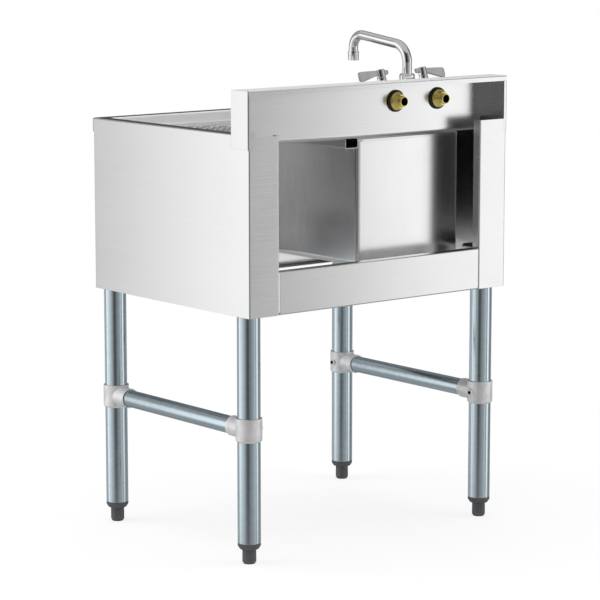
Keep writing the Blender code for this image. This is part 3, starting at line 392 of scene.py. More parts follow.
def by_angle(outline: Array, centre: Array, angles: Array) -> Array:
    """The points where rays from a centre meet a star-shaped outline.

    The outline is sampled finely and its distance from the centre is read off by angle.

    Args:
        outline: The outline, (n, 2).
        centre: Where the rays start.
        angles: Their directions, (m,).

    Returns:
        The points, (m, 2).
    """
    closed = np.vstack([outline, outline[:1]])
    fine = np.linspace(0, 1, 60, endpoint=False)[:, None]
    dense = (closed[:-1, None] * (1 - fine) + closed[1:, None] * fine).reshape(-1, 2) - centre
    turn = np.arctan2(dense[:, 1], dense[:, 0])
    order = np.argsort(turn)
    far = np.linalg.norm(dense, axis=1)[order]
    reach = np.interp(angles, turn[order], far, period=2 * math.pi)
    return centre + reach[:, None] * np.stack([np.cos(angles), np.sin(angles)], 1)


# Shader toolkit


Number = Union[float, int, "Value"]


class Value:
    """A number socket: Python's operators on it add Math nodes."""

    def __init__(self, graph: "Graph", socket: bpy.types.NodeSocket) -> None:
        """Wrap an output socket."""
        self.graph = graph
        self.socket = socket

    def _math(self, operation: str, *values: Number) -> "Value":
        """A Math node on these values."""
        settings = {"operation": operation}
        return self.graph.node("ShaderNodeMath", settings, dict(enumerate(values)))

    def __add__(self, other: Number) -> "Value":
        """Sum."""
        return self._math("ADD", self, other)

    def __sub__(self, other: Number) -> "Value":
        """Difference."""
        return self._math("SUBTRACT", self, other)

    def __rsub__(self, other: Number) -> "Value":
        """Difference from a number."""
        return self._math("SUBTRACT", other, self)

    def __neg__(self) -> "Value":
        """Difference from nought."""
        return self._math("SUBTRACT", 0, self)

    def __abs__(self) -> "Value":
        """Size without the sign."""
        return self._math("ABSOLUTE", self)

    def __mul__(self, other: Number) -> "Value":
        """Product."""
        return self._math("MULTIPLY", self, other)

    def __truediv__(self, other: Number) -> "Value":
        """Quotient."""
        return self._math("DIVIDE", self, other)

    def __pow__(self, other: Number) -> "Value":
        """Power."""
        return self._math("POWER", self, other)

    __radd__ = __add__
    __rmul__ = __mul__

    def between(self, low: float, high: float) -> "Value":
        """0 at low and below, 1 at high and above, smooth between them."""
        inputs = {"Value": self, "From Min": low, "From Max": high}
        return self.graph.node("ShaderNodeMapRange", {"interpolation_type": "SMOOTHSTEP"}, inputs)


class Colour(Value):
    """A colour socket."""

    def mix(self, other: Union["Colour", tuple], share: Number, blend: str = "MIX") -> "Colour":
        """This colour with a share of another."""
        return self.graph.blend(self, other, share, blend)


class Vector(Value):
    """A vector socket: sums and products add Vector Math nodes."""

    def _vector(self, operation: str, other: tuple) -> "Vector":
        """A Vector Math node on this vector and another."""
        settings = {"operation": operation}
        return self.graph.node("ShaderNodeVectorMath", settings, {0: self, 1: other}, kind=Vector)

    def __mul__(self, other: tuple) -> "Vector":
        """Scaled by a vector."""
        return self._vector("MULTIPLY", other)

    def __add__(self, other: tuple) -> "Vector":
        """Moved by a vector."""
        return self._vector("ADD", other)

    def parts(self) -> list:
        """The three coordinates as values."""
        made = self.graph.node("ShaderNodeSeparateXYZ", {}, {"Vector": self})
        return [Value(self.graph, socket) for socket in made.socket.node.outputs]


class Graph:
    """One material's nodes."""

    def __init__(self, tree: bpy.types.NodeTree) -> None:
        """Start on a tree, emptied."""
        self.tree = tree
        tree.nodes.clear()

    def node(self, kind_name: str, settings: dict, inputs: dict, output: Union[int, str] = 0,
             kind: type = Value) -> Value:
        """Add a node: its settings first, then the values or links of its sockets.

        Args:
            kind_name: The node's type.
            settings: Its properties.
            inputs: Values or wrapped sockets by socket name or number.
            output: Which output to hand back.
            kind: The wrapper of that output.

        Returns:
            The wrapped output.
        """
        made = self.tree.nodes.new(kind_name)
        for name, value in settings.items():
            setattr(made, name, value)
        for name, value in inputs.items():
            if isinstance(value, Value):
                self.tree.links.new(value.socket, made.inputs[name])
            elif isinstance(value, tuple) and made.inputs[name].type == "RGBA":
                made.inputs[name].default_value = (*value[:3], 1)
            else:
                made.inputs[name].default_value = value
        return kind(self, made.outputs[output] if made.outputs else None)

    def place(self, scale: tuple = (1, 1, 1), centre: tuple = (0, 0, 0)) -> Vector:
        """Object coordinates in metres, less a centre, times a scale."""
        made = self.node("ShaderNodeTexCoord", {}, {}, output="Object", kind=Vector)
        return (made + tuple(-c for c in centre)) * scale

    def noise(self, where: Vector, scale: float, detail: float = 2.0, rough: float = 0.5) -> Value:
        """Perlin noise from 0 to 1."""
        inputs = {"Vector": where, "Scale": scale, "Detail": detail, "Roughness": rough}
        return self.node("ShaderNodeTexNoise", {}, inputs)

    def cells(self, where: Vector, scale: float) -> Value:
        """The distance to the nearest middle of Voronoi cells."""
        return self.node("ShaderNodeTexVoronoi", {}, {"Vector": where, "Scale": scale})

    def blend(self, dark: Union[Colour, tuple], light: Union[Colour, tuple], share: Number,
              blend: str = "MIX") -> Colour:
        """A colour between two.

        Args:
            dark: The colour where the share is 0.
            light: The colour where it is 1.
            share: The share of the second.
            blend: How the second is laid over the first.

        Returns:
            The colour.
        """
        settings = {"data_type": "RGBA", "blend_type": blend}
        inputs = {0: share, 6: dark, 7: light}
        return self.node("ShaderNodeMix", settings, inputs, output=2, kind=Colour)

    def bump(self, height: Value, depth: float, strength: float) -> Vector:
        """A normal from a height, whose full range is depth metres."""
        inputs = {"Height": height, "Distance": depth, "Strength": strength}
        return self.node("ShaderNodeBump", {}, inputs, kind=Vector)

    def principled(self, **sockets: Union[Value, float, tuple]) -> None:
        """The shader wired to the output.

        Args:
            sockets: Its sockets, named in lower case.
        """
        inputs = {name.replace("_", " ").title(): value for name, value in sockets.items()}
        shader = self.node("ShaderNodeBsdfPrincipled", {}, inputs)
        self.node("ShaderNodeOutputMaterial", {}, {"Surface": shader})


# Finishes


def shaded(colour: tuple, share: float) -> tuple:
    """A colour times a share, up to white."""
    return tuple(min(part * share, 1) for part in colour)


class Grain(Enum):
    """Which way a brushed sheet's grain runs, as the scale of its coordinates."""

    LEVEL = (5.0, 5.0, 1500.0)
    ACROSS = (5.0, 1500.0, 1500.0)
    FORE_AND_AFT = (1500.0, 5.0, 1500.0)
    UPRIGHT = (1500.0, 1500.0, 5.0)

    def scaled(self, share: float) -> tuple:
        """The scale times a share."""
        return tuple(size * share for size in self.value)


@dataclass(frozen=True)
class Finish:
    """A finish, drawn once as a material and shared by the pieces that have it."""

    name: str
    slot: str

    def draw(self, graph: Graph) -> None:
        """Add the finish's nodes."""
        raise NotImplementedError

    def material(self) -> bpy.types.Material:
        """The Blender material.

        Returns:
            The material, which is made at the first call.
        """
        made = bpy.data.materials.get(self.name)
        if made is None:
            made = bpy.data.materials.new(self.name)
            made.use_nodes = True
            self.draw(Graph(made.node_tree))
        return made


@dataclass(frozen=True)
class BrushedSteel(Finish):
    """Fine brushed stainless sheet: long grain, rolling bands, handling marks and hairlines."""

    grain: Grain = Grain.LEVEL
    colour: tuple = (0.86, 0.86, 0.865)
    roughness: float = 0.25

    def skin(self, graph: Graph) -> tuple:
        """Grain from noise drawn out along one axis, with soft blotches over it.

        Args:
            graph: The material's nodes.

        Returns:
            The colour, the roughness and the normal.
        """
        grain = graph.noise(graph.place(self.grain.value), 1.0, 4.0, 0.62)
        bands = graph.noise(graph.place(self.grain.scaled(1 / 9)), 1.0, 2.0)
        blotch = graph.noise(graph.place(), 9.0, 3.0, 0.55)
        lines = graph.noise(graph.place(self.grain.scaled(1.9)), 1.0, 1.0)
        hairline = lines.between(0.68, 0.74)
        share = (grain * 0.6 + bands * 0.15 + blotch * 0.25).between(0.3, 0.7)
        colour = graph.blend(shaded(self.colour, 0.955), self.colour, share)
        colour = colour.mix(shaded(self.colour, 0.88), hairline * 0.3)
        rough = grain * 0.10 + blotch * 0.06 + (self.roughness - 0.08) + hairline * 0.06
        return colour, rough, graph.bump(grain + lines * 0.4, 0.005 * MM, 0.5)

    def draw(self, graph: Graph) -> None:
        """Plain metal with that skin."""
        colour, rough, normal = self.skin(graph)
        graph.principled(base_color=colour, metallic=1.0, roughness=rough, normal=normal)


@dataclass(frozen=True)
class FoldedSteel(BrushedSteel):
    """The top's steel: a rim buffed bright, frosted tray walls and a hazy fold on the splash."""

    half_width: float = 281.5 * MM
    front: float = -211.5 * MM
    edge: float = 0.4 * MM
    frost_rise: tuple = mm(4, 8)
    satin: float = 0.18
    frost: float = 0.95
    haze: float = 0.55

    def draw(self, graph: Graph) -> None:
        """The tray and the rim are found by their coordinates.

        Args:
            graph: The material's nodes.
        """
        colour, rough, normal = self.skin(graph)
        x, y, z = graph.place().parts()
        edge = self.edge
        ahead = 1 - y.between(SPLASH_Y - edge, SPLASH_Y)
        tray = (1 - abs(x).between(self.half_width - edge, self.half_width)) * ahead
        tray = tray * y.between(self.front, self.front + edge)
        tray = tray * (1 - z.between(RIM - 3 * edge, RIM))
        wall = tray * z.between(*(DECK + rise for rise in self.frost_rise))
        rim = z.between(RIM - edge, RIM - edge / 2) * ahead
        fold = z.between(SPLASH_TOP - 2 * edge, SPLASH_TOP - edge / 2)
        graph.principled(
            base_color=colour, metallic=1 - wall * self.frost - fold * self.haze, normal=normal,
            roughness=rough + (wall + fold - rim) * self.satin,
        )


@dataclass(frozen=True)
class Galvanised(Finish):
    """Bright galvanised tube: bluish zinc with faint spangle and drawn lines along the tube."""

    along: Grain = Grain.UPRIGHT
    colour: tuple = (0.65, 0.765, 0.83)
    roughness: float = 0.11

    def draw(self, graph: Graph) -> None:
        """Cells of a few millimetres differ a little in tone and gloss.

        Args:
            graph: The material's nodes.
        """
        where = graph.place()
        lines = graph.noise(graph.place(self.along.scaled(0.6)), 1.0, 3.0)
        cloud = graph.noise(where, 24.0, 3.0)
        push = graph.node("ShaderNodeTexNoise", {}, {"Vector": where, "Scale": 60.0},
                          output="Color", kind=Vector)
        warp = graph.node("ShaderNodeVectorMath", {"operation": "MULTIPLY_ADD"},
                          {0: push, 1: (0.006,) * 3, 2: where}, kind=Vector)
        spangle = graph.node("ShaderNodeTexVoronoi", {}, {"Vector": warp, "Scale": 120.0},
                             output="Color", kind=Vector).parts()[0]
        share = (spangle * 0.3 + cloud * 0.3 + lines * 0.4).between(0.25, 0.75)
        graph.principled(
            base_color=graph.blend(shaded(self.colour, 0.93), self.colour, share), metallic=1.0,
            roughness=spangle * 0.03 + cloud * 0.03 + self.roughness,
            normal=graph.bump(lines + spangle * 0.15, 0.006 * MM, 0.4),
        )


@dataclass(frozen=True)
class CastMetal(Finish):
    """Satin cast aluminium: a sandy skin with pits and a duller tone in the hollows."""

    colour: tuple = (0.90, 0.90, 0.91)
    roughness: float = 0.42

    def draw(self, graph: Graph) -> None:
        """Sand grain as bump, and scattered pits.

        Args:
            graph: The material's nodes.
        """
        where = graph.place()
        sand = graph.noise(where, 900.0, 3.0, 0.6)
        cloud = graph.noise(where, 45.0, 3.0)
        pits = 1 - graph.cells(where, 160.0).between(0.0, 0.16)
        share = (cloud * 0.6 + sand * 0.4).between(0.3, 0.65)
        colour = graph.blend(shaded(self.colour, 0.80), self.colour, share)
        graph.principled(
            base_color=colour.mix(shaded(self.colour, 0.45), pits * 0.5), metallic=0.65,
            roughness=cloud * 0.14 + sand * 0.10 + (self.roughness - 0.1),
            normal=graph.bump(sand - pits * 1.4, 0.10 * MM, 0.6),
        )


@dataclass(frozen=True)
class Plated(Finish):
    """Polished chrome plate with a faint orange peel and water spots."""

    colour: tuple = (0.88, 0.88, 0.89)
    roughness: float = 0.025

    def draw(self, graph: Graph) -> None:
        """Nearly a mirror; gloss falls a little in soft smudges and round spots.

        Args:
            graph: The material's nodes.
        """
        where = graph.place()
        smudge = graph.noise(where, 70.0, 4.0, 0.6).between(0.45, 0.75)
        spots = 1 - graph.cells(where, 210.0).between(0.06, 0.12)
        graph.principled(
            base_color=graph.blend(self.colour, shaded(self.colour, 0.92), smudge), metallic=1.0,
            roughness=smudge * 0.04 + spots * 0.03 + self.roughness,
            normal=graph.bump(graph.noise(where, 260.0, 1.0), 0.005 * MM, 0.3),
        )


@dataclass(frozen=True)
class MachinedBrass(Finish):
    """Bare turned brass: tool rings, a yellow tone, brown tarnish in patches, and painted shade
    inside the bore.
    """

    centre: tuple = (0.0, 0.0, 0.0)
    colour: tuple = (1.0, 0.83, 0.25)
    tarnished: tuple = (0.42, 0.28, 0.09)
    # painted shade: the near-black colour laid inside the bore, where shade falls
    inside: tuple = (0.035, 0.022, 0.012)
    bore: float = 0.0
    bore_edge: float = 0.3 * MM

    def draw(self, graph: Graph) -> None:
        """Rings follow the turning axis, which runs along Y through the centre. The bore is painted
        near black as shade.

        Args:
            graph: The material's nodes.
        """
        where = graph.place(centre=self.centre)
        x, y, z = where.parts()
        radius = (x * x + z * z) ** 0.5
        turning = graph.node("ShaderNodeCombineXYZ", {}, {0: radius, 1: y}, kind=Vector)
        marks = graph.noise(turning, 2600.0, 2.0)
        tarnish = graph.noise(where, 150.0, 3.0, 0.6).between(0.45, 0.75)
        colour = graph.blend(shaded(self.colour, 0.86), self.colour, marks)
        colour = colour.mix(self.tarnished, tarnish * 0.3)
        # painted shade: inside the bore's radius the colour goes near black
        bore_shade = 1 - radius.between(self.bore, self.bore + self.bore_edge)
        graph.principled(
            base_color=colour.mix(self.inside, bore_shade), metallic=0.75,
            roughness=marks * 0.06 + tarnish * 0.10 + bore_shade * 0.3 + 0.06,
            normal=graph.bump(marks, 0.01 * MM, 0.4),
        )


@dataclass(frozen=True)
class Moulded(Finish):
    """Moulded plastic or rubber: a fine leathery skin, scuffed low down where it stands."""

    colour: tuple = (0.085, 0.088, 0.092)
    roughness: float = 0.46
    scuff: float = 0.0
    scuff_height: float = 20.0 * MM

    def draw(self, graph: Graph) -> None:
        """Skin as bump, and scuffs that fade out above the floor.

        Args:
            graph: The material's nodes.
        """
        where = graph.place()
        skin = graph.noise(where, 1400.0, 2.0)
        cloud = graph.noise(where, 120.0, 3.0)
        near_floor = 1 - where.parts()[2].between(0.0, self.scuff_height)
        scuffs = near_floor * graph.noise(where, 420.0, 3.0).between(0.5, 0.7)
        colour = graph.blend(shaded(self.colour, 0.8), self.colour, cloud)
        graph.principled(
            base_color=colour.mix(shaded(self.colour, 2.6), scuffs * self.scuff),
            roughness=cloud * 0.12 + skin * 0.08 + (self.roughness - 0.08),
            normal=graph.bump(skin, 0.03 * MM, 0.5),
        )


@dataclass(frozen=True)
class BlackOxide(Finish):
    """Black oxide steel, with bright metal showing through in small wear marks."""

    colour: tuple = (0.035, 0.035, 0.037)
    bare: tuple = (0.30, 0.30, 0.31)

    def draw(self, graph: Graph) -> None:
        """Dark metal with worn flecks.

        Args:
            graph: The material's nodes.
        """
        where = graph.place()
        wear = graph.noise(where, 900.0, 3.0, 0.6).between(0.58, 0.72)
        cloud = graph.noise(where, 300.0, 2.0)
        graph.principled(
            base_color=graph.blend(self.colour, self.bare, wear * 0.6), metallic=0.85,
            roughness=cloud * 0.15 + 0.30, normal=graph.bump(cloud, 0.02 * MM, 0.5),
        )


LEVEL_STEEL = BrushedSteel("steel_level_grain", "stainless_steel")
DECK_STEEL = FoldedSteel("steel_cross_grain", "stainless_steel", Grain.ACROSS)
BOWL_STEEL = BrushedSteel("steel_drawn_bowl", "stainless_steel", Grain.UPRIGHT, roughness=0.22)
SOCKET_STEEL = BrushedSteel(
    "steel_welded_socket", "stainless_steel", Grain.UPRIGHT, (0.70, 0.70, 0.71), 0.34
)
LEG_ZINC = Galvanised("zinc_upright", "galvanised_steel")
TUBE_ZINC = Galvanised(
    "zinc_fore_and_aft", "galvanised_steel", Grain.FORE_AND_AFT, roughness=0.20
)
CAST = CastMetal("cast_satin", "cast_aluminium")
CHROME = Plated("chrome_polished", "chrome")
SATIN_LEVER = CastMetal("lever_satin_plate", "chrome", (0.54, 0.54, 0.55), 0.40)
FOOT_PLASTIC = Moulded("foot_plastic", "grey_plastic", scuff=0.6)
RUBBER = Moulded("washer_rubber", "black_rubber", (0.018, 0.018, 0.018), 0.6)
SCREW_BLACK = BlackOxide("screw_black_oxide", "black_steel")


def piece(name: str, surface: Surface, finish: Finish, body: str = "sink",
          nodes: Iterable[str] = (), sharp: float = 33.0, up: int = 0, wall: float = 0.0) -> None:
    """Make a piece of the sink that rides on a body and stands for CAD nodes.

    Args:
        name: The piece's name.
        surface: Its shape, in place.
        finish: Its finish.
        body: The CAD body it moves with.
        nodes: CAD nodes that it replaces.
        sharp: The least angle of a sharp edge, in degrees.
        up: For an open sheet, the way it faces on the whole.
        wall: For an open sheet, its thickness, on the side away from its normals.
    """
    mesh = surface.mesh(name, sharp, up)
    made = bpy.data.objects.new(name, mesh)
    bpy.context.scene.collection.objects.link(made)
    mesh.materials.append(finish.material())
    if wall:
        thick = made.modifiers.new("wall", "SOLIDIFY")
        thick.thickness = wall
        thick.offset = -1
        thick.use_even_offset = True
    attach(made, body)
    if nodes:
        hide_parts(*nodes)
    LOG.info("%s: %d faces, %s, rides on %s", name, len(mesh.polygons), finish.name, body)


# The folded top


@dataclass
class FoldedTop:
    """Rim, drainboard and splash, folded and pressed from one sheet, and the splash's end caps."""

    rim_width: float = 25.0 * MM
    cove: float = 8.0 * MM
    skirt_corner: float = 6.0 * MM
    tray_corner: float = 10.0 * MM
    fall: float = 3.6 * MM
    board_edge: float = 40.2 * MM
    lip: float = 9.5 * MM
    roll: float = 6.0 * MM
    roll_lip: float = 2.0 * MM
    button: float = 18.5 * MM
    button_rise: float = 1.9 * MM
    button_crown_share: float = 0.60
    pitch: float = 31.75 * MM
    margin: float = 5.8 * MM
    cap_step: float = 1.6 * MM
    face_shares: tuple = (0, 0.02, 0.3, 0.65)
    columns: int = 128
    rows: int = 200
    plain: int = 50
    corner_points: int = 9

    @property
    def step(self) -> float:
        """The distance between the buttons' columns."""
        return self.pitch * math.sqrt(3) / 2

    def slope(self, x: Array) -> Array:
        """The deck's rise: none round the bowl, then even up to the right cove."""
        right = HALF_WIDTH - self.rim_width - self.cove
        return self.fall * np.clip((x - self.board_edge) / (right - self.board_edge), 0, 1)

    def button_centres(self) -> Array:
        """Staggered rows over the drainboard, (n, 2), whose neighbours lie one pitch apart.

        Returns:
            The centres.
        """
        reach = self.button / 2 + self.margin
        low, high = self.board_edge + reach, HALF_WIDTH - self.rim_width - self.cove - reach
        front, back = -HALF_DEPTH + self.rim_width + self.cove + reach, SPLASH_Y - self.cove - reach
        columns = int((high - low) / self.step) + 1
        rows = int((back - front) / self.pitch) + 1
        column, row = np.meshgrid(np.arange(columns), np.arange(rows), indexing="ij")
        x = (low + high - self.step * (columns - 1)) / 2 + column * self.step
        y = (front + back - self.pitch * (rows - 1)) / 2 + (row + column % 2 / 2) * self.pitch
        kept = row < rows - column % 2
        return np.stack([x[kept], y[kept]], 1)

    def emboss(self, x: Array, y: Array) -> Array:
        """The buttons' height over the deck: a flat crown whose flank is a smooth step.

        The nearest button stands in the nearest column or in one beside it.

        Args:
            x: The points' x.
            y: Their y.

        Returns:
            Their heights over the deck.
        """
        centres = self.button_centres()
        first, last = centres.min(0), centres.max(0)
        rows = np.rint((last[1] - first[1]) / self.pitch)
        column = np.rint((x - first[0]) / self.step)
        nearest = np.full(x.shape, self.pitch)
        for side in (-1, 0, 1):
            k = column + side
            low = first[1] + np.where(k % 2, self.pitch / 2, 0)
            j = np.clip(np.rint((y - low) / self.pitch), 0, rows - np.where(k % 2, 1, 0))
            near = np.hypot(x - first[0] - k * self.step, y - low - j * self.pitch)
            there = (k >= 0) & (first[0] + k * self.step <= last[0] + self.step / 2)
            nearest = np.where(there, np.minimum(nearest, near), nearest)
        share = np.clip((1 - nearest / (self.button / 2)) / (1 - self.button_crown_share), 0, 1)
        return self.button_rise * share * share * (3 - 2 * share)

    def plan(self, inset: float, back: float) -> Array:
        """The outline at an inset, from the back left round the front to the back right, (n, 2).

        The corners' radius grows evenly over the rim, from the skirt's to the tray's.

        Args:
            inset: How far inside the skirt the outline lies.
            back: The y of its two ends.

        Returns:
            The outline.
        """
        share = min(max(inset / self.rim_width, 0), 1)
        corner = self.skirt_corner + (self.tray_corner - self.skirt_corner) * share
        left, right, front = -HALF_WIDTH + inset, HALF_WIDTH - inset, -HALF_DEPTH + inset
        quarter = np.linspace(0, math.pi / 2, self.corner_points)
        turn = np.stack([np.cos(quarter), np.sin(quarter)], 1) * corner
        first = np.array((left + corner, front + corner)) - turn
        second = np.array((right - corner, front + corner)) + turn[:, ::-1] * (1, -1)
        down = np.linspace(back, front + corner, self.plain)[:-1]
        bowl = np.linspace(left + corner, self.board_edge, self.plain)[1:-1]
        board = np.linspace(self.board_edge, right - corner, self.columns)[:-1]
        over = np.concatenate([bowl, board])
        up = np.linspace(front + corner, back, self.rows)[1:]
        return np.concatenate([
            np.stack([np.full_like(down, left), down], 1), first,
            np.stack([over, np.full_like(over, front)], 1), second,
            np.stack([np.full_like(up, right), up], 1),
        ])

    def section(self) -> tuple:
        """The rim's cross-section.

        Returns:
            Its points as inset and height, (n, 2), and the index of the first in the tray's cove.
        """
        w = self.rim_width
        profile = rounded(
            [(0, SKIRT_LOW), (0, RIM), (w, RIM), (w, DECK), (w + self.cove, DECK)],
            [BEND, BEND, self.cove - TINY], 8,
        )[:-2]
        profile = np.vstack([profile, [(w + self.cove, DECK)]])
        low = (profile[:, 0] > w / 2) & (profile[:, 1] < DECK + self.cove + TINY)
        return profile, int(np.argmax(low)) - 1

    def _loop(self, inset: float, height: float) -> Array:
        """A closed row of the tray's cove: round the front, then back along the splash.

        Args:
            inset: How far inside the skirt the row lies.
            height: Its height, before the drainboard's fall.

        Returns:
            The row, (n, 3).
        """
        back = SPLASH_Y - max(inset - self.rim_width, 0)
        row = at_height(self.plan(inset, back), height)
        left, right = row[0, 0], row[-1, 0]
        share = np.linspace(0, 1, self.columns + self.corner_points // 2)[1:]
        board = right + (self.board_edge - right) * share
        rest = np.linspace(self.board_edge, left, self.plain)[1:-1]
        x = np.concatenate([board, rest])
        edge = np.column_stack([x, np.full_like(x, back), np.full_like(x, height)])
        row = np.vstack([row, edge])
        row[:, 2] += self.slope(row[:, 0])
        return row

    def sheet(self) -> Surface:
        """The whole sheet as one open surface that faces up.

        Returns:
            The surface, whose normals face up.
        """
        profile, start = self.section()
        rim = [at_height(self.plan(inset, SPLASH_Y), height) for inset, height in profile[:start]]
        cove = [self._loop(inset, height) for inset, height in profile[start:]]
        count = len(rim[0])
        rim = np.array(rim + [cove[0][:count]])
        made = Surface().grid(rim)
        self._splash(made, rim[:, 0], cove[0][count:][::-1], rim[:, -1])
        made.grid(np.array(cove), around=True)
        self._deck(made, cove[-1], count)
        return made

    def _splash(self, made: Surface, left: Array, edge: Array, right: Array) -> None:
        """The splash: straight lines from the tray's end up to the top fold, then over to the lip.

        The lines' upper ends are spread along the fold as their feet are along the tray's end.

        Args:
            made: The surface that it is added to.
            left: The left ends of the rim's rows.
            edge: The cove's first row along the splash, from the left.
            right: The right ends of the rim's rows.
        """
        side = HALF_WIDTH - SHEET - GAP
        fold = rounded(
            [(SPLASH_Y, RIM), (SPLASH_Y, SPLASH_TOP), (HALF_DEPTH, SPLASH_TOP),
             (HALF_DEPTH, SPLASH_TOP - self.lip)], BEND, 8,
        )[1:]
        start = int(np.argmax(left[:, 0] > -HALF_WIDTH + self.rim_width - BEND - TINY))
        foot = np.vstack([
            [(-side, SPLASH_Y, RIM)], left[start:], edge, right[start:][::-1],
            [(side, SPLASH_Y, RIM)],
        ])
        foot[:, 1] = SPLASH_Y
        foot = foot[np.append(True, np.linalg.norm(np.diff(foot, axis=0), axis=1) > WELD)]
        step = np.linalg.norm(np.diff(foot, axis=0), axis=1)
        top = np.empty((len(fold), len(foot), 3))
        top[..., 0] = side * (2 * np.append(0, np.cumsum(step)) / step.sum() - 1)
        top[..., 1:] = fold[:, None]
        share = np.array(self.face_shares)[:, None, None]
        made.grid(np.concatenate([foot + (top[0] - foot) * share, top]))

    def _deck(self, made: Surface, loop: Array, path: int) -> None:
        """The level deck round the bowl, and the drainboard as a blend of its four edges.

        Args:
            made: The surface that they are added to.
            loop: The cove's last row.
            path: How many of its points run round the front.
        """
        half = self.corner_points // 2
        board = 2 * self.plain - 3 + self.corner_points
        middle = board + self.columns - 1 + half
        end = path + self.columns - 1 + half
        low, right, top = loop[board:middle + 1], loop[middle:path], loop[path - 1:end][::-1]
        rise = (right[:, 1] - right[0, 1]) / (right[-1, 1] - right[0, 1])
        left = low[0] + (top[0] - low[0]) * rise[:, None]
        u = np.linspace(0, 1, len(low))[None, :, None]
        v = rise[:, None, None]
        grid = (1 - v) * low[None] + v * top[None] + (1 - u) * left[:, None] + u * right[:, None]
        grid -= (1 - u) * (1 - v) * low[0] + u * (1 - v) * low[-1]
        grid -= (1 - u) * v * top[0] + u * v * top[-1]
        grid[..., 2] = DECK + self.slope(grid[..., 0]) + self.emboss(grid[..., 0], grid[..., 1])
        made.grid(grid)
        self._opening(made, np.vstack([loop[:board + 1], left[1:], loop[end:]]))

    def _opening(self, made: Surface, outer: Array) -> None:
        """Rows from the deck's outline in to the opening, along rays from the bowl's middle.

        The edge rolls down into the bowl on a quarter circle and ends in a short straight lip.

        Args:
            made: The surface that they are added to.
            outer: The deck's outline round the bowl.
        """
        x0, x1, y0, y1 = BOWL_BOX
        centre = np.array(((x0 + x1) / 2, (y0 + y1) / 2))
        angles = np.arctan2(outer[:, 1] - centre[1], outer[:, 0] - centre[0])
        turn = np.linspace(0, math.pi / 2, self.corner_points)
        outset = np.append(self.roll * (1 - np.sin(turn)), 0.0) - SHEET
        drop = np.append(self.roll * (np.cos(turn) - 1), -self.roll - self.roll_lip)
        rows = [outer]
        for out, down in zip(outset, drop):
            outline = outline_box(x0 - out, x1 + out, y0 - out, y1 + out, BOWL_CORNER + out, 12)
            rows.append(at_height(by_angle(outline, centre, angles), DECK + down))
        made.grid(np.array(rows), around=True)

    def build(self) -> None:
        """Make the top and its end caps."""
        piece("folded_top", self.sheet(), DECK_STEEL, nodes=["top_deck"], up=1, wall=SHEET)
        for side, sign in SIDES.items():
            self._end_cap(side, sign)

    def _end_cap(self, side: str, sign: int) -> None:
        """The plate that closes one end of the splash box.

        Its path runs from the narrow rear flange to the splash, so that the wall lies inside. The
        flange stops under the splash's lip.

        Args:
            side: Which end.
            sign: The sign of its X.
        """
        path = rounded(
            [(SPLASH_Y + GAP, HALF_WIDTH), (HALF_DEPTH, HALF_WIDTH),
             (HALF_DEPTH, HALF_WIDTH - CAP_FLANGE)], BEND, 8,
        )[::-1]
        plate = path[:, 1] > HALF_WIDTH - self.cap_step
        top = np.where(plate, SPLASH_TOP, SPLASH_TOP - self.lip - GAP)
        surface = folded(path, FoldLine.UPRIGHT, SKIRT_LOW, top, sign)
        piece(f"end_cap_{side}", surface, LEVEL_STEEL, nodes=[f"splash_end_cap_{side}"])


# The bowl and its drain


@dataclass
class Bowl:
    """The drawn bowl."""

    top: float = 728.3 * MM
    floor: float = 501.6 * MM
    floor_radius: float = 10.0 * MM
    fall: float = 3.0 * MM
    seat: float = 35.3 * MM
    hole: float = 23.0 * MM
    least_corner_share: float = 0.4
    floor_shares: tuple = (0.34, 0.67, 0.97, 1.0)
    rays: int = 360
    corner_rays: int = 24
    corner_spread: float = 0.05

    def angles(self) -> Array:
        """Rays from the bowl's middle, closer together at its corners.

        Returns:
            Their directions in radians, sorted.
        """
        x0, x1, y0, y1 = BOWL_BOX
        even = np.linspace(-math.pi, math.pi, self.rays, endpoint=False)
        corners = [math.atan2(b * (y1 - y0), a * (x1 - x0)) for a in (-1, 1) for b in (-1, 1)]
        near = np.linspace(-self.corner_spread, self.corner_spread, self.corner_rays)
        return np.unique(np.concatenate([even] + [corner + near for corner in corners]))

    def shell(self) -> Surface:
        """The outer side: walls, a round foot, and a floor that falls to the drain's seat.

        Returns:
            The open surface, of the bowl's outer side.
        """
        x0, x1, y0, y1 = BOWL_BOX
        centre = np.array(((x0 + x1) / 2, (y0 + y1) / 2))
        low = self.floor - SHEET
        angles = self.angles()
        around = np.stack([np.cos(angles), np.sin(angles)], 1)
        rows = []
        for inset, height in rounded([(0, self.top), (0, low), (self.seat, low)],
                                     self.floor_radius, 8)[:-1]:
            corner = max(BOWL_CORNER - inset, BOWL_CORNER * self.least_corner_share)
            outline = outline_box(x0 + inset, x1 - inset, y0 + inset, y1 - inset, corner, 12)
            rows.append(at_height(by_angle(outline, centre, angles), height))
        end = rows[-1][:, :2]
        for share in self.floor_shares:
            ring = end + (centre + around * self.seat - end) * share
            rows.append(at_height(ring, low - self.fall * min(share / self.floor_shares[-2], 1)))
        rows.append(at_height(centre + around * self.hole, low - self.fall))
        return Surface().grid(np.array(rows), around=True)

    def build(self) -> None:
        """Make the bowl, and the drain on its seat."""
        piece("bowl_shell", self.shell(), BOWL_STEEL, nodes=["bowl"], up=-1, wall=SHEET)
        x0, x1, y0, y1 = BOWL_BOX
        Drain(((x0 + x1) / 2, (y0 + y1) / 2, self.floor - self.fall)).build()


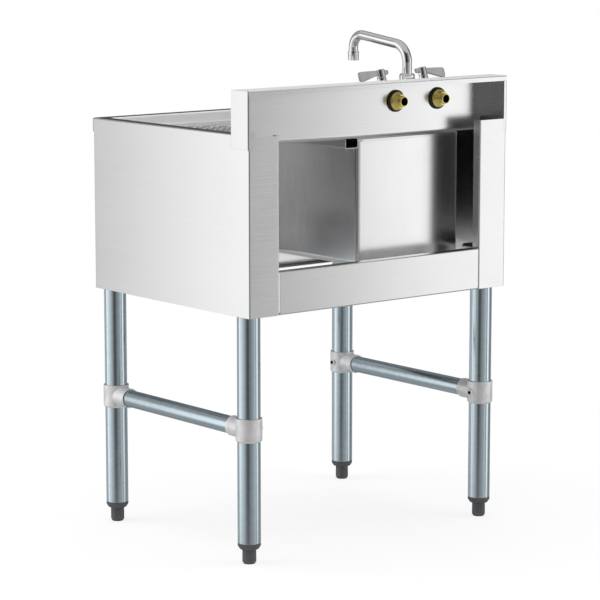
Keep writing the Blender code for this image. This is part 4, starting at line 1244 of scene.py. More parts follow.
@dataclass
class Drain:
    """The strainer in the bowl's floor, with its gasket and its lock nut below."""

    seat: tuple
    body: float = 22.25 * MM
    bore: float = 18.5 * MM
    flange: float = 35.0 * MM
    flange_rise: float = 0.9 * MM
    crown: float = 1.9 * MM
    crown_inset: float = 6.0 * MM
    throat: float = 1.0 * MM
    low: float = -46.0 * MM
    thread_high: float = -6.0 * MM
    thread_pitch: float = 2.0 * MM
    thread_depth: float = 0.5 * MM
    cup_eases: tuple = mm(0.6, 5, 2, 0.2, 0.2)
    bar_half: float = 1.75 * MM
    bar_deep: float = 3.5 * MM
    bar_edge: float = 0.8 * MM
    bar_bite: float = 1.0 * MM
    clear: float = 22.85 * MM
    gasket: float = 32.0 * MM
    gasket_height: float = 3.0 * MM
    nut_flat: float = 30.0 * MM
    nut_height: float = 9.0 * MM
    nut_chamfer_rise: tuple = mm(0, 1, 2.4)
    nut_chamfer_cone: tuple = mm(30, 31.7, 60)
    sides: int = 64
    nut_sides: int = 96
    thread_rows: int = 161

    def build(self) -> None:
        """Make the three pieces."""
        place = placed(self.seat)
        piece("strainer", self._strainer(place), CHROME, nodes=["drain_strainer"])
        under = -SHEET - GAP
        ring = tube(self.gasket, self.clear, under - self.gasket_height, under)
        gasket = Surface().turned(ring, place, self.sides, True)
        piece("drain_gasket_ring", gasket, RUBBER, nodes=["drain_gasket"])
        nut = self._lock_nut(place, under - self.gasket_height - GAP)
        brass = MachinedBrass("brass_lock_nut", "brass", self.seat)
        piece("lock_nut", nut, brass, nodes=["drain_nut"], sharp=20)

    def _strainer(self, place: Array) -> Surface:
        """A dished flange, a bore with cross bars, and a threaded body, whose thread fades out.

        Args:
            place: The placement of the drain's seat.

        Returns:
            The surface.
        """
        height = np.linspace(self.thread_high, self.low, self.thread_rows)
        ends = np.minimum(self.thread_high - height, height - self.low)
        ease = np.clip(ends / self.thread_pitch, 0, 1)[:, None]
        wave = thread_wave(height, self.thread_pitch, self.sides)
        thread = rings(self.body - self.thread_depth * wave * ease, height, self.sides)
        cup = rounded(
            [(self.bore, self.low), (self.bore, -self.throat),
             (self.flange - self.crown_inset, self.crown), (self.flange, self.flange_rise),
             (self.flange, GAP), (self.body, GAP), (self.body, self.thread_high)],
            self.cup_eases, 6, 0.1 * MM,
        )
        rows = np.concatenate([rings(cup[:, 0], cup[:, 1], self.sides), thread[1:]])
        surface = Surface().grid(moved(rows, place), around=True, along=True)
        section = rounded(
            [(-self.bar_half, -self.bar_deep), (self.bar_half, -self.bar_deep),
             (self.bar_half, 0), (-self.bar_half, 0)], self.bar_edge, 4, 0.1 * MM, closed=True,
        )
        length = np.array((-1, 1))[:, None] * (self.bore + self.bar_bite)
        for turn in (0, math.pi / 2):
            c, s = math.cos(turn), math.sin(turn)
            bar = np.stack(np.broadcast_arrays(
                c * length - s * section[:, 0], s * length + c * section[:, 0], section[:, 1]
            ), -1)
            surface.grid(moved(bar, place), around=True, caps=True)
        return surface

    def _lock_nut(self, place: Array, top: float) -> Surface:
        """A hexagon nut: the radius of a hexagon by angle, cut off by the chamfer's cone.

        Args:
            place: The placement of the drain's seat.
            top: The height of its upper face.

        Returns:
            The surface.
        """
        rise, cone = np.array(self.nut_chamfer_rise), np.array(self.nut_chamfer_cone)
        level = np.concatenate([rise[:1], rise, self.nut_height - rise[::-1], [self.nut_height]])
        cone = np.concatenate([rise[:1], cone, cone[::-1], rise[:1]])
        radius = np.minimum(hexagon(self.nut_flat, self.nut_sides), cone[:, None])
        radius[0] = radius[-1] = self.clear
        rows = rings(radius, top - level, self.nut_sides)
        return Surface().grid(moved(rows, place), around=True, along=True)


# The cabinet


@dataclass
class Cabinet:
    """Side panels, apron, rear rail and the channel under the drainboard."""

    face: float = 303.0 * MM
    panel_top: float = 758.7 * MM
    apron_y: float = -233.15 * MM
    stile_edge: float = 236.5 * MM
    stile_return: float = 16.5 * MM
    front_flange: float = 16.0 * MM
    apron_return: float = 31.0 * MM
    return_half: float = 250.15 * MM
    rail_return: float = 18.0 * MM
    channel_deep: float = 16.6 * MM
    channel_box: tuple = mm(9.6, 39.6, -201.65, 178.15)

    def build(self) -> None:
        """Make the sheet pieces."""
        for side, sign in SIDES.items():
            self._panel(side, sign)
        self._apron()
        self._rail()
        self._channel()

    def _panel(self, side: str, sign: int) -> None:
        """A side with its front flange, stile and return.

        Its path runs from the return to the flange, so that the wall lies inside. Behind, the top
        is cut down to the skirt under the end cap's flange.

        Args:
            side: Which side.
            sign: The sign of its X.
        """
        front = self.apron_y + SHEET + GAP
        path = rounded(
            [(front, self.face - self.front_flange), (front, self.face), (HALF_DEPTH, self.face),
             (HALF_DEPTH, self.stile_edge), (HALF_DEPTH - self.stile_return, self.stile_edge)],
            BEND, 8,
        )
        notch = HALF_WIDTH - CAP_FLANGE - GAP
        rear = HALF_DEPTH - SHEET - GAP
        at = int(np.argmax((path[:, 0] > rear) & (path[:, 1] < notch)))
        path = np.insert(path, at, [(HALF_DEPTH, notch + TINY), (HALF_DEPTH, notch)], axis=0)[::-1]
        cut = (path[:, 0] > rear) & (path[:, 1] > notch + TINY / 2)
        top = np.where(cut, SKIRT_LOW - GAP, self.panel_top)
        surface = folded(path, FoldLine.UPRIGHT, CABINET_LOW, top, sign)
        piece(f"side_sheet_{side}", surface, LEVEL_STEEL, nodes=[f"side_panel_{side}"])

    def _apron(self) -> None:
        """The front sheet, and its bottom return, cut short between the legs."""
        path = rounded(
            [(self.apron_y, self.panel_top), (self.apron_y, CABINET_LOW),
             (self.apron_y + self.apron_return, CABINET_LOW)], BEND, 8,
        )
        at = int(np.argmax(path[:, 0] > self.apron_y + SHEET))
        path = np.insert(path, at, (path[at - 1] + path[at]) / 2, axis=0)
        side = self.face - BEND - GAP
        reach = np.where(np.arange(len(path)) > at, self.return_half, side)
        surface = folded(path, FoldLine.ACROSS, -reach, reach)
        piece("apron_sheet", surface, LEVEL_STEEL, nodes=["front_apron"])

    def _rail(self) -> None:
        """The rear rail, a channel between the stiles that opens to the front."""
        inner = HALF_DEPTH - self.rail_return
        path = rounded(
            [(inner, CABINET_LOW), (HALF_DEPTH, CABINET_LOW), (HALF_DEPTH, RAIL_TOP),
             (inner, RAIL_TOP)], BEND, 8,
        )
        side = self.stile_edge - 2 * GAP
        surface = folded(path, FoldLine.ACROSS, -side, side)
        piece("rail_sheet", surface, LEVEL_STEEL, nodes=["rear_rail"])

    def _channel(self) -> None:
        """The channel that stiffens the drainboard beside the bowl."""
        left, right, front, back = self.channel_box
        high = DECK - SHEET - GAP
        low = high - self.channel_deep
        path = rounded([(left, high), (left, low), (right, low), (right, high)], BEND, 8)
        surface = folded(path, FoldLine.FORE_AND_AFT, front, back)
        piece("channel_sheet", surface, LEVEL_STEEL, nodes=["drainboard_channel"])


# The stand


@dataclass
class Stand:
    """Four galvanised legs with sockets, cast tees, cross tubes and adjustable feet."""

    leg: float = 20.65 * MM
    wall: float = 1.5 * MM
    x: float = 277.4 * MM
    rear_y: float = 199.25 * MM
    front_y: float = -204.65 * MM
    leg_low: float = 37.8 * MM
    leg_high: float = 517.4 * MM
    plug_rise: float = 24.0 * MM
    collar_band: float = 4.6 * MM
    collar_tip: float = 16.4 * MM
    collar_edge: float = 1.2 * MM
    collar_eases: tuple = mm(0.8, 0.2, 0.8, 1.2, 0.8, 0.5, 0.3, 0.3)
    foot: float = 12.5 * MM
    foot_height: float = 26.5 * MM
    foot_side: float = 4.2 * MM
    sole: float = 10.3 * MM
    foot_eases: tuple = mm(0.9, 1.6, 0.6)
    grip_flat: float = 11.3 * MM
    grip_low: float = 15.0 * MM
    stud: float = 5.0 * MM
    stud_high: float = 58.0 * MM
    stud_crest: float = 4.95 * MM
    stud_depth: float = 0.55 * MM
    stud_pitch: float = 1.8 * MM
    stud_tip: float = 0.2 * MM
    stud_chamfer: float = 1.0 * MM
    stud_point_share: float = 0.7
    tee_z: float = 241.3 * MM
    tee_half: float = 20.85 * MM
    tee_wall: float = 3.05 * MM
    tee_reach: float = 46.0 * MM
    tee_mouth: float = 18.0 * MM
    tee_flare: float = 2.2 * MM
    tee_chamfers: tuple = mm(2.6, 1.6, 1.2)
    tee_eases: tuple = mm(0.6, 1.6, 0.6, 0.4, 0.4, 0.3)
    tube: float = 15.875 * MM
    tube_start: float = 28.0 * MM
    branch_wall: float = 2.1 * MM
    branch_edge: float = 0.7 * MM
    branch_sunk: float = 0.2 * MM
    boss: float = 6.0 * MM
    boss_bore: float = 3.3 * MM
    boss_rise: float = 3.5 * MM
    boss_deep: float = 3.0 * MM
    boss_flare: float = 1.6 * MM
    screw: float = 3.0 * MM
    screw_past: float = 5.0 * MM
    key_flat: float = 1.5 * MM
    key_rim: float = 1.9 * MM
    key_levels: tuple = mm(0.2, 2, 2.3)
    plate: float = 3.0 * MM
    plate_edge: float = 0.4 * MM
    plate_inset_share: float = 0.01
    plate_reach: float = 36.0 * MM
    plate_clip: float = 22.0 * MM
    plate_side: float = 301.5 * MM
    plate_front: float = 230.15 * MM
    barrel_wall: float = 2.0 * MM
    barrel_deep: float = 58.0 * MM
    barrel_sunk: float = 2.4 * MM
    bead: float = 2.4 * MM

    def spot(self, corner: str) -> tuple:
        """The signs of X and Y and the plan position of a leg."""
        side, end = CORNERS[corner]
        return side, end, side * self.x, self.rear_y if end > 0 else self.front_y

    def build(self) -> None:
        """Make each corner's pieces and the cross tubes."""
        for corner in CORNERS:
            self._leg(corner)
            self._foot(corner)
            self._tee(corner)
            self._screw(corner)
            self._socket(corner)
        for side, sign in SIDES.items():
            start, stop = self.front_y + self.tube_start, self.rear_y - self.tube_start
            place = placed((sign * self.x, start, self.tee_z), (0, 1, 0))
            profile = tube(self.tube, self.tube - self.wall, 0, stop - start)
            surface = Surface().turned(profile, place, 64, True)
            piece(f"cross_bar_{side}", surface, TUBE_ZINC, nodes=[f"cross_tube_{side}"])

    def _leg(self, corner: str) -> None:
        """The leg tube and the plastic insert with its tapered collar.

        Args:
            corner: Which corner.
        """
        _, _, x, y = self.spot(corner)
        place = placed((x, y, 0))
        profile = tube(self.leg, self.leg - self.wall, self.leg_low, self.leg_high)
        piece(f"leg_pipe_{corner}", Surface().turned(profile, place, 72, True), LEG_ZINC,
              nodes=[f"leg_{corner}"])
        plug, hole = self.leg - self.wall - GAP, self.stud + GAP
        low, high = self.foot_height + GAP, self.leg_low - GAP
        top = high + self.plug_rise
        corners = [
            (plug, top), (plug, high), (self.leg, high), (self.leg, high - self.collar_band),
            (self.collar_tip + self.collar_edge, low + self.collar_edge), (self.collar_tip, low),
            (hole, low), (hole, top),
        ]
        collar = rounded(corners, self.collar_eases, 5, 0.15 * MM, closed=True)
        piece(f"collar_{corner}", Surface().turned(collar, place, 64, True), FOOT_PLASTIC,
              nodes=[f"leg_collar_{corner}"])

    def _foot(self, corner: str) -> None:
        """A stub foot, whose radius by angle narrows to a hexagonal grip, on a threaded stud.

        Args:
            corner: Which corner.
        """
        _, _, x, y = self.spot(corner)
        sides = 48
        outer = rounded(
            [(self.stud, self.foot_height), (self.foot, self.foot_height),
             (self.foot, self.foot_side), (self.sole, 0), (0, 0)], self.foot_eases, 8, 0.3 * MM,
        )
        radius = np.broadcast_to(outer[:, :1], (len(outer), sides)).copy()
        grip = (outer[:, 1] > self.grip_low) & (outer[:, 0] > self.stud + self.foot_eases[0])
        radius[grip] = np.minimum(radius[grip], hexagon(self.grip_flat, sides))
        body = rings(radius, outer[:, 1], sides)
        height = np.linspace(self.stud_high, self.foot_height, 120)
        point = (self.stud_high + self.stud_tip - height) / self.stud_chamfer
        point = np.clip(point, self.stud_point_share, 1)
        wave = thread_wave(height, self.stud_pitch, sides)
        stud = rings((self.stud_crest - self.stud_depth * wave) * point[:, None], height, sides)
        top = np.zeros((1, sides, 3))
        top[..., 2] = self.stud_high
        rows = moved(np.concatenate([top, stud, body]), placed((x, y, 0)))
        piece(f"foot_pad_{corner}", Surface().grid(rows, around=True), FOOT_PLASTIC,
              body=f"foot_{corner}", nodes=[f"foot_{corner}"])

    def _branch(self, place: Array, radius: float, inner: float, reach: float, depth: float,
                flare: float, sleeve: float) -> Surface:
        """A branch whose root flares into the sleeve, a cylinder square to it.

        At an angle t round the branch, the sleeve's skin lies sqrt(R^2 - (r cos t)^2) out. The
        root's radius shrinks as one minus a sine while its distance grows as one minus a cosine.

        Args:
            place: The branch's placement, on the sleeve's axis with Z along the branch.
            radius: Its outer radius.
            inner: Its bore's radius.
            reach: How far its mouth lies from the sleeve's axis.
            depth: How deep its bore is shown.
            flare: The size of the root's fillet.
            sleeve: The sleeve's outer radius.

        Returns:
            The surface.
        """
        sides = 72
        turn = np.linspace(0, math.pi / 2, 7)[:, None]
        root = radius + flare * (1 - np.sin(turn))
        skin = np.sqrt(sleeve**2 - (root * circle(sides)[:, 0]) ** 2)
        out = skin - self.branch_sunk + flare * (1 - np.cos(turn))
        mouth = rounded([(radius, 0), (radius, reach), (inner, reach), (inner, reach - depth)],
                        self.branch_edge, 4, 0.2 * MM)[1:]
        radii = np.concatenate([[[0.0]], root, mouth[:, :1], [[0.0]]])
        outs = np.concatenate([
            np.full((1, sides), sleeve / 2), out,
            np.broadcast_to(mouth[:, 1:], (len(mouth), sides)), np.full((1, sides), reach - depth),
        ])
        return Surface().grid(moved(rings(radii, outs, sides), place), around=True)

    def _tee(self, corner: str) -> None:
        """A cast tee: a sleeve with eased ends, the branch for the cross tube and a screw boss.

        Args:
            corner: Which corner.
        """
        side, end, x, y = self.spot(corner)
        outer, inner = self.leg + self.tee_wall, self.leg + GAP
        low, high = self.tee_z - self.tee_half, self.tee_z + self.tee_half
        tall, thin, top = self.tee_chamfers
        sleeve = rounded(
            [(outer, high), (outer, low + tall), (outer - thin, low), (inner, low),
             (inner, high - tall), (inner + top, high)], self.tee_eases, 5, 0.2 * MM, closed=True,
        )
        surface = Surface().turned(sleeve, placed((x, y, 0)), 80, True)
        bore = self.tube + GAP
        surface.add(self._branch(
            placed((x, y, self.tee_z), (0, -end, 0)), bore + self.branch_wall, bore,
            self.tee_reach, self.tee_mouth, self.tee_flare, outer,
        ))
        surface.add(self._branch(
            placed((x, y, self.tee_z), (-side, 0, 0)), self.boss, self.boss_bore,
            outer + self.boss_rise, self.boss_deep, self.boss_flare, outer,
        ))
        piece(f"tee_casting_{corner}", surface, CAST, nodes=[f"tee_{corner}"], sharp=40)

    def _screw(self, corner: str) -> None:
        """The set screw, with a hexagonal socket in its end.

        Args:
            corner: Which corner.
        """
        side, _, x, y = self.spot(corner)
        sides = 48
        low, high = self.leg + GAP, self.leg + self.tee_wall + self.screw_past
        profile = rounded(
            [(0, low), (self.screw, low), (self.screw, high), (self.key_rim, high)], 0.5 * MM, 4,
            0.1 * MM,
        )
        key = np.broadcast_to(hexagon(self.key_flat, sides), (2, sides))
        radii = np.concatenate([
            np.broadcast_to(profile[:, :1], (len(profile), sides)), key, np.zeros((1, sides))
        ])
        level = np.concatenate([profile[:, 1], high - np.array(self.key_levels)])
        place = placed((x, y, self.tee_z), (-side, 0, 0))
        surface = Surface().grid(moved(rings(radii, level, sides), place), around=True)
        piece(f"grub_screw_{corner}", surface, SCREW_BLACK, nodes=[f"set_screw_{corner}"])

    def _socket(self, corner: str) -> None:
        """The gusset plate in the cabinet's corner, with the barrel that holds the leg.

        Args:
            corner: Which corner.
        """
        side, end, x, y = self.spot(corner)
        wall_x = self.plate_side
        wall_y = HALF_DEPTH - SHEET - GAP if end > 0 else self.plate_front
        inner_x, inner_y = self.x - self.plate_reach, abs(y) - self.plate_reach
        outline = np.array([
            (inner_x + self.plate_clip, inner_y), (wall_x, inner_y), (wall_x, wall_y - BEND),
            (wall_x - BEND, wall_y), (inner_x, wall_y), (inner_x, inner_y + self.plate_clip),
        ]) * (side, end)
        centre = outline.mean(0)
        inset = centre + (outline - centre) * (1 - self.plate_inset_share)
        level = RAIL_TOP - np.array((0, self.plate_edge, self.plate - self.plate_edge, self.plate))
        plans = (inset, outline, outline, inset)
        rows = np.array([at_height(plan, z) for plan, z in zip(plans, level)])
        surface = Surface().grid(rows, around=True, caps=True)
        inner = self.leg + GAP
        outer = inner + self.barrel_wall
        barrel = tube(outer, inner, RAIL_TOP - self.barrel_deep, RAIL_TOP - self.barrel_sunk,
                      0.5 * MM)
        surface.turned(barrel, placed((x, y, 0)), 72, True)
        weld = circle(12) * self.bead + (outer, RAIL_TOP - self.plate)
        surface.turned(weld, placed((x, y, 0)), 72, True)
        piece(f"gusset_{corner}", surface, SOCKET_STEEL, nodes=[f"leg_socket_{corner}"])


# The faucet


@dataclass
class FaucetBody:
    """The cast body: two arms on the splash, the valve housings, the bar and the riser."""

    spacing: float = 101.6 * MM
    lean: float = math.radians(18)
    neck: float = 8.8 * MM
    riser: float = 12.5 * MM
    riser_levels: tuple = mm(37, 33, 12, 6, 2)
    riser_foot: float = 14.5 * MM
    riser_eases: tuple = mm(0.5, 0.3, 1, 3, 1)
    waist: float = 11.0 * MM
    bar_swell: float = 3.2 * MM
    hub_swell: float = 2.4 * MM
    bar_end: float = 4.0 * MM
    rose: float = 21.0 * MM
    rose_edge: float = 3.0 * MM
    arm: float = 13.0 * MM
    arm_start: float = 8.0 * MM
    arm_reach: float = 24.5 * MM
    arm_eases: tuple = mm(0.4, 1.6, 3.5, 2)
    housing: float = 14.0 * MM
    housing_top: float = 21.0 * MM
    housing_low: float = -15.0 * MM
    housing_eases: tuple = mm(1.2, 6)

    def valve_place(self, sign: int) -> Array:
        """A valve's placement: on the body's bar, with Z up the tilted stem.

        Args:
            sign: The side of the faucet it is on.

        Returns:
            The 4x4 matrix.
        """
        c, s = math.cos(self.lean), math.sin(self.lean)
        matrix = np.eye(4)
        matrix[:3, :3] = ((1, 0, 0), (0, c, -s), (0, s, c))
        matrix[:3, 3] = FAUCET + (sign * self.spacing / 2, -STANDOFF, 0)
        return matrix

    def shank_place(self, sign: int) -> Array:
        """A shank's placement: on the splash, with Z to the rear."""
        return placed(FAUCET + (sign * self.spacing / 2, 0, 0), (0, 1, 0))

    def riser_place(self) -> Array:
        """The riser's placement."""
        return placed(FAUCET + (0, -STANDOFF, 0))

    def build(self) -> None:
        """Make the body of turned forms that run into one another.

        Along the bar, x from -1 to 1, the radius is the waist plus a swell that grows as x^6
        towards the ends and one that falls as exp(-(x / 0.3)^4) from the middle.
        """
        top, shoulder, flare, foot, base = self.riser_levels
        riser = rounded(
            [(0, top), (self.neck, top), (self.neck, shoulder), (self.riser, shoulder),
             (self.riser, flare), (self.riser_foot, foot), (0, base)],
            self.riser_eases, 6, 0.2 * MM,
        )
        surface = Surface().turned(riser, self.riser_place(), 64)
        x = np.linspace(-1, 1, 61)
        middle = np.exp(-((x / 0.3) ** 4))
        radius = self.waist + self.bar_swell * np.abs(x) ** 6 + self.hub_swell * middle
        bar = np.stack([radius, x * (self.spacing / 2 - self.bar_end)], 1)
        bar = np.vstack([[(0, bar[0, 1])], bar, [(0, bar[-1, 1])]])
        surface.turned(bar, placed(FAUCET + (0, -STANDOFF, 0), (1, 0, 0)), 64)
        arm = rounded(
            [(0, -GAP), (self.rose, -GAP), (self.rose, -self.rose_edge),
             (self.arm, -self.arm_start), (self.arm, -self.arm_reach), (0, -self.arm_reach)],
            self.arm_eases, 6, 0.2 * MM,
        )
        housing = rounded(
            [(0, self.housing_top), (self.housing, self.housing_top),
             (self.housing, self.housing_low), (0, self.housing_low)],
            self.housing_eases, 8, 0.3 * MM,
        )
        for sign in TAPS.values():
            surface.turned(arm, self.shank_place(sign), 64)
            surface.turned(housing, self.valve_place(sign), 64)
        piece("faucet_casting", surface, CHROME, nodes=["faucet_body"], sharp=40)


@dataclass
class Shank:
    """A threaded nipple through the splash, with its rubber washer and coned brass nut."""

    outer: float = 9.5 * MM
    bore: float = 7.7 * MM
    low: float = -9.7 * MM
    high: float = 25.7 * MM
    thread_pitch: float = 1.4 * MM
    thread_depth: float = 0.55 * MM
    chamfer: float = 0.7 * MM
    chamfer_rise: float = 1.2 * MM
    clear: float = 9.8 * MM
    washer: float = 20.0 * MM
    washer_low: float = 1.5 * MM
    washer_high: float = 4.5 * MM
    nut: float = 16.75 * MM
    nut_cone: float = 14.6 * MM
    nut_tip: float = 11.75 * MM
    nut_levels: tuple = mm(18.8, 9.8, 7.8, 4.8)
    nut_eases: tuple = mm(0.6, 1.2, 0.7, 0.5, 0.3, 0.3)
    sides: int = 72

    def nipple(self, place: Array) -> Surface:
        """A thread that fades into chamfered ends, and the bore.

        Args:
            place: The shank's placement.

        Returns:
            The surface.
        """
        height = np.linspace(self.low, self.high, 220)
        ends = np.minimum(self.high - height, height - self.low)
        ease = np.clip(ends / self.chamfer_rise, 0, 1)[:, None]
        wave = thread_wave(height, self.thread_pitch, self.sides)
        radius = self.outer - self.thread_depth * wave * ease - self.chamfer * (1 - ease)
        tip = self.outer - self.chamfer
        inside = rounded(
            [(tip, self.high), (self.bore, self.high), (self.bore, self.low), (tip, self.low)],
            0.5 * MM, 4, 0.1 * MM,
        )[1:-1]
        rows = np.concatenate([
            rings(radius, height, self.sides), rings(inside[:, 0], inside[:, 1], self.sides)
        ])
        return Surface().grid(moved(rows, place), around=True, along=True)

    def build(self, tap: str, place: Array) -> None:
        """Make the pieces of one shank.

        Args:
            tap: The valve that it feeds.
            place: Its placement.
        """
        centre = tuple(float(c) for c in place[:3, 3])
        brass = MachinedBrass(f"brass_{tap}", "brass", centre, bore=self.bore)
        piece(f"nipple_{tap}", self.nipple(place), brass, nodes=[f"shank_{tap}"])
        washer = tube(self.washer, self.clear, self.washer_low, self.washer_high, 0.9 * MM)
        piece(f"washer_{tap}", Surface().turned(washer, place, 72, True), RUBBER,
              nodes=[f"shank_washer_{tap}"])
        tip, cone, flange, face = self.nut_levels
        nut = rounded(
            [(self.nut_tip, tip), (self.nut_cone, cone), (self.nut, flange), (self.nut, face),
             (self.clear, face), (self.clear, tip)], self.nut_eases, 6, 0.2 * MM, closed=True,
        )
        piece(f"coned_nut_{tap}", Surface().turned(nut, place, 72, True), brass,
              nodes=[f"shank_nut_{tap}"])


@dataclass
class Valve:
    """The bonnet, stem and lever handle of one valve."""

    bonnet: float = 12.5 * MM
    bonnet_cone: float = 11.4 * MM
    bonnet_neck: float = 8.5 * MM
    bonnet_levels: tuple = mm(40.3, 34.6, 31.6, 30.2, 21.3)
    bonnet_eases: tuple = mm(0.5, 1, 1, 0.6, 0.6, 0.3, 0.3)
    stem: float = 4.0 * MM
    stem_low: float = 12.3 * MM
    stem_high: float = 51.1 * MM
    hub: float = 8.25 * MM
    hub_foot: float = 40.6 * MM
    hub_top: float = 57.1 * MM
    hub_eases: tuple = mm(0.2, 0.5, 1.8, 0.7)
    well: float = 3.9 * MM
    well_deep: float = 2.6 * MM
    well_edge: float = 0.2 * MM
    hub_drop: float = 0.8 * MM
    head: float = 3.6 * MM
    head_crown: float = 2.4 * MM
    head_edge: float = 0.9 * MM
    head_deep: float = 2.4 * MM
    screw: float = 1.8 * MM
    screw_low: float = 42.5 * MM
    blade_drop: float = 2.0 * MM
    blade: float = 2.25 * MM
    blade_x: tuple = mm(-18, -17.7, -16.8, -15, -9, 0, 6, 10, 20, 30, 40, 46, 50, 52.4, 53.6, 54)
    blade_upper: tuple = mm(-1.6, -0.8, -0.2, 0, 0, 0, 0, 0, -0.1, -0.2, -0.4, -0.5, -0.8, -1.9,
                            -3.6, -5.5)
    blade_lower: tuple = mm(-5, -6.6, -7.8, -8.4, -8.4, -9.4, -9.8, -10.1, -12.4, -15.2, -18.1,
                            -19.4, -20.0, -18.8, -16.0, -12)
    blade_shares: tuple = (0.3, 0.6, 0.85, 1, 1, 1, 1, 1, 1, 1, 1, 1, 0.95, 0.8, 0.6, 0.3)

    def build(self, tap: str, sign: int, place: Array) -> None:
        """Make the pieces of one valve.

        Args:
            tap: The valve's name.
            sign: The side that its lever points to.
            place: Its placement.
        """
        body = f"handle_{tap}"
        top, neck, cone, edge, foot = self.bonnet_levels
        clear = self.stem + GAP
        bonnet = rounded(
            [(self.bonnet_neck, top), (self.bonnet_neck, neck), (self.bonnet_cone, cone),
             (self.bonnet, edge), (self.bonnet, foot), (clear, foot), (clear, top)],
            self.bonnet_eases, 5, 0.15 * MM, closed=True,
        )
        piece(f"bonnet_cap_{tap}", Surface().turned(bonnet, place, 64, True), CHROME,
              nodes=[f"bonnet_{tap}"])
        brass = MachinedBrass(f"brass_stem_{tap}", "brass", tuple(float(c) for c in place[:3, 3]))
        stem = Surface().turned(rod(self.stem, self.stem_low, self.stem_high), place, 40)
        piece(f"spindle_{tap}", stem, brass, body=body, nodes=[f"stem_{tap}"])
        top = self.hub_top
        hub = rounded(
            [(0, top - self.well_deep), (self.well, top - self.well_deep),
             (self.well, top - self.well_edge), (self.hub, top - self.hub_drop),
             (self.hub, self.hub_foot), (0, self.hub_foot)], self.hub_eases, 6, 0.1 * MM,
        )
        piece(f"handle_hub_{tap}", Surface().turned(hub, place, 64), CHROME, body=body,
              nodes=[f"handle_{tap}"])
        piece(f"lever_{tap}", self._lever(sign, place), SATIN_LEVER, body=body, sharp=50)
        head = rounded(
            [(0, top - self.head_edge), (self.head_crown, top - self.well_edge),
             (self.head, top - self.head_edge), (self.head, top - self.head_deep),
             (self.screw, top - self.head_deep), (self.screw, self.screw_low),
             (0, self.screw_low)], 0.25 * MM, 4, 0.1 * MM,
        )
        piece(f"lever_screw_{tap}", Surface().turned(head, place, 40), CHROME, body=body,
              nodes=[f"handle_screw_{tap}"])

    def _lever(self, sign: int, place: Array) -> Surface:
        """The flared blade and short nose: superelliptic sections along the lever.

        A section's point at angle t is (thick/2 sgn cos |cos|^p, height/2 sgn sin |sin|^p), and
        its top and bottom follow smooth curves of the distance from the hub.

        Args:
            sign: The side that it points to.
            place: The valve's placement.

        Returns:
            The surface.
        """
        fine, at = np.linspace(0, 1, 90), np.linspace(0, 1, len(self.blade_x))
        curves = (self.blade_x, self.blade_upper, self.blade_lower, self.blade_shares)
        x, upper, lower, share = (np.interp(fine, at, curve) for curve in curves)
        c, s = circle(40).T
        across = np.sign(c) * np.abs(c) ** 0.45 * self.blade * share[:, None]
        middle, half = self.hub_top - self.blade_drop + (upper + lower) / 2, (upper - lower) / 2
        height = middle[:, None] + half[:, None] * np.sign(s) * np.abs(s) ** 0.28
        rows = np.stack([np.broadcast_to(sign * x[:, None], across.shape), across, height], -1)
        return Surface().grid(moved(rows, place), around=True, caps=True)


@dataclass
class Spout:
    """The swivel nut, the bent tube and the aerator."""

    tube: float = 8.8 * MM
    reach: float = 151.5 * MM
    foot: float = 37.3 * MM
    knee: float = 95.0 * MM
    crest: float = 113.5 * MM
    mouth: float = 68.5 * MM
    bends: tuple = mm(34, 24)
    clear: float = 9.1 * MM
    nut: float = 14.5 * MM
    nut_neck: float = 11.6 * MM
    nut_levels: tuple = mm(45.8, 43.2, 33.3)
    nut_eases: tuple = mm(0.8, 1.4, 0.6, 0.3, 0.3)
    cup_radii: tuple = mm(9.1, 9.9, 10.25, 10.25, 9.7, 10.25, 10.1, 6.9, 6.9, 0, 0, 9.1)
    cup_levels: tuple = mm(79, 79, 76.5, 72, 71.4, 70.8, 62.5, 62.5, 65, 65, 68, 68.2)
    cup_edge: float = 0.12 * MM

    def build(self, place: Array) -> None:
        """Make the pieces.

        Args:
            place: The riser's placement.
        """
        top, edge, low = self.nut_levels
        nut = rounded(
            [(self.nut_neck, top), (self.nut, edge), (self.nut, low), (self.clear, low),
             (self.clear, top)], self.nut_eases, 6, 0.2 * MM, closed=True,
        )
        piece("swivel_nut", Surface().turned(nut, place, 72, True), CHROME, nodes=["spout_nut"])
        line = rounded(
            [(0, self.foot), (0, self.knee), (self.reach, self.crest), (self.reach, self.mouth)],
            self.bends, 40, 1 * MM,
        )
        path = np.stack([np.zeros(len(line)), -line[:, 0], line[:, 1]], 1)
        surface = swept(moved(path, place), (1, 0, 0), self.tube, 48)
        piece("spout_tube", surface, CHROME, body="spout", nodes=["spout"], sharp=50)
        under = place.copy()
        under[:3, 3] += (0, -self.reach, 0)
        corners = np.stack([self.cup_radii, self.cup_levels], 1)
        cup = rounded(corners, self.cup_edge, 4, 0.05 * MM, closed=True)
        piece("aerator_cup", Surface().turned(cup, under, 72, True), CHROME, body="spout",
              nodes=["aerator"])


@dataclass
class Faucet:
    """The splash-mounted faucet: cast body, two valves on brass shanks, and a swing spout."""

    body: FaucetBody = field(default_factory=FaucetBody)
    shank: Shank = field(default_factory=Shank)
    valve: Valve = field(default_factory=Valve)
    spout: Spout = field(default_factory=Spout)

    def build(self) -> None:
        """Make the faucet."""
        self.body.build()
        for tap, sign in TAPS.items():
            self.shank.build(tap, self.body.shank_place(sign))
            self.valve.build(tap, sign, self.body.valve_place(sign))
        self.spout.build(self.body.riser_place())


# The studio


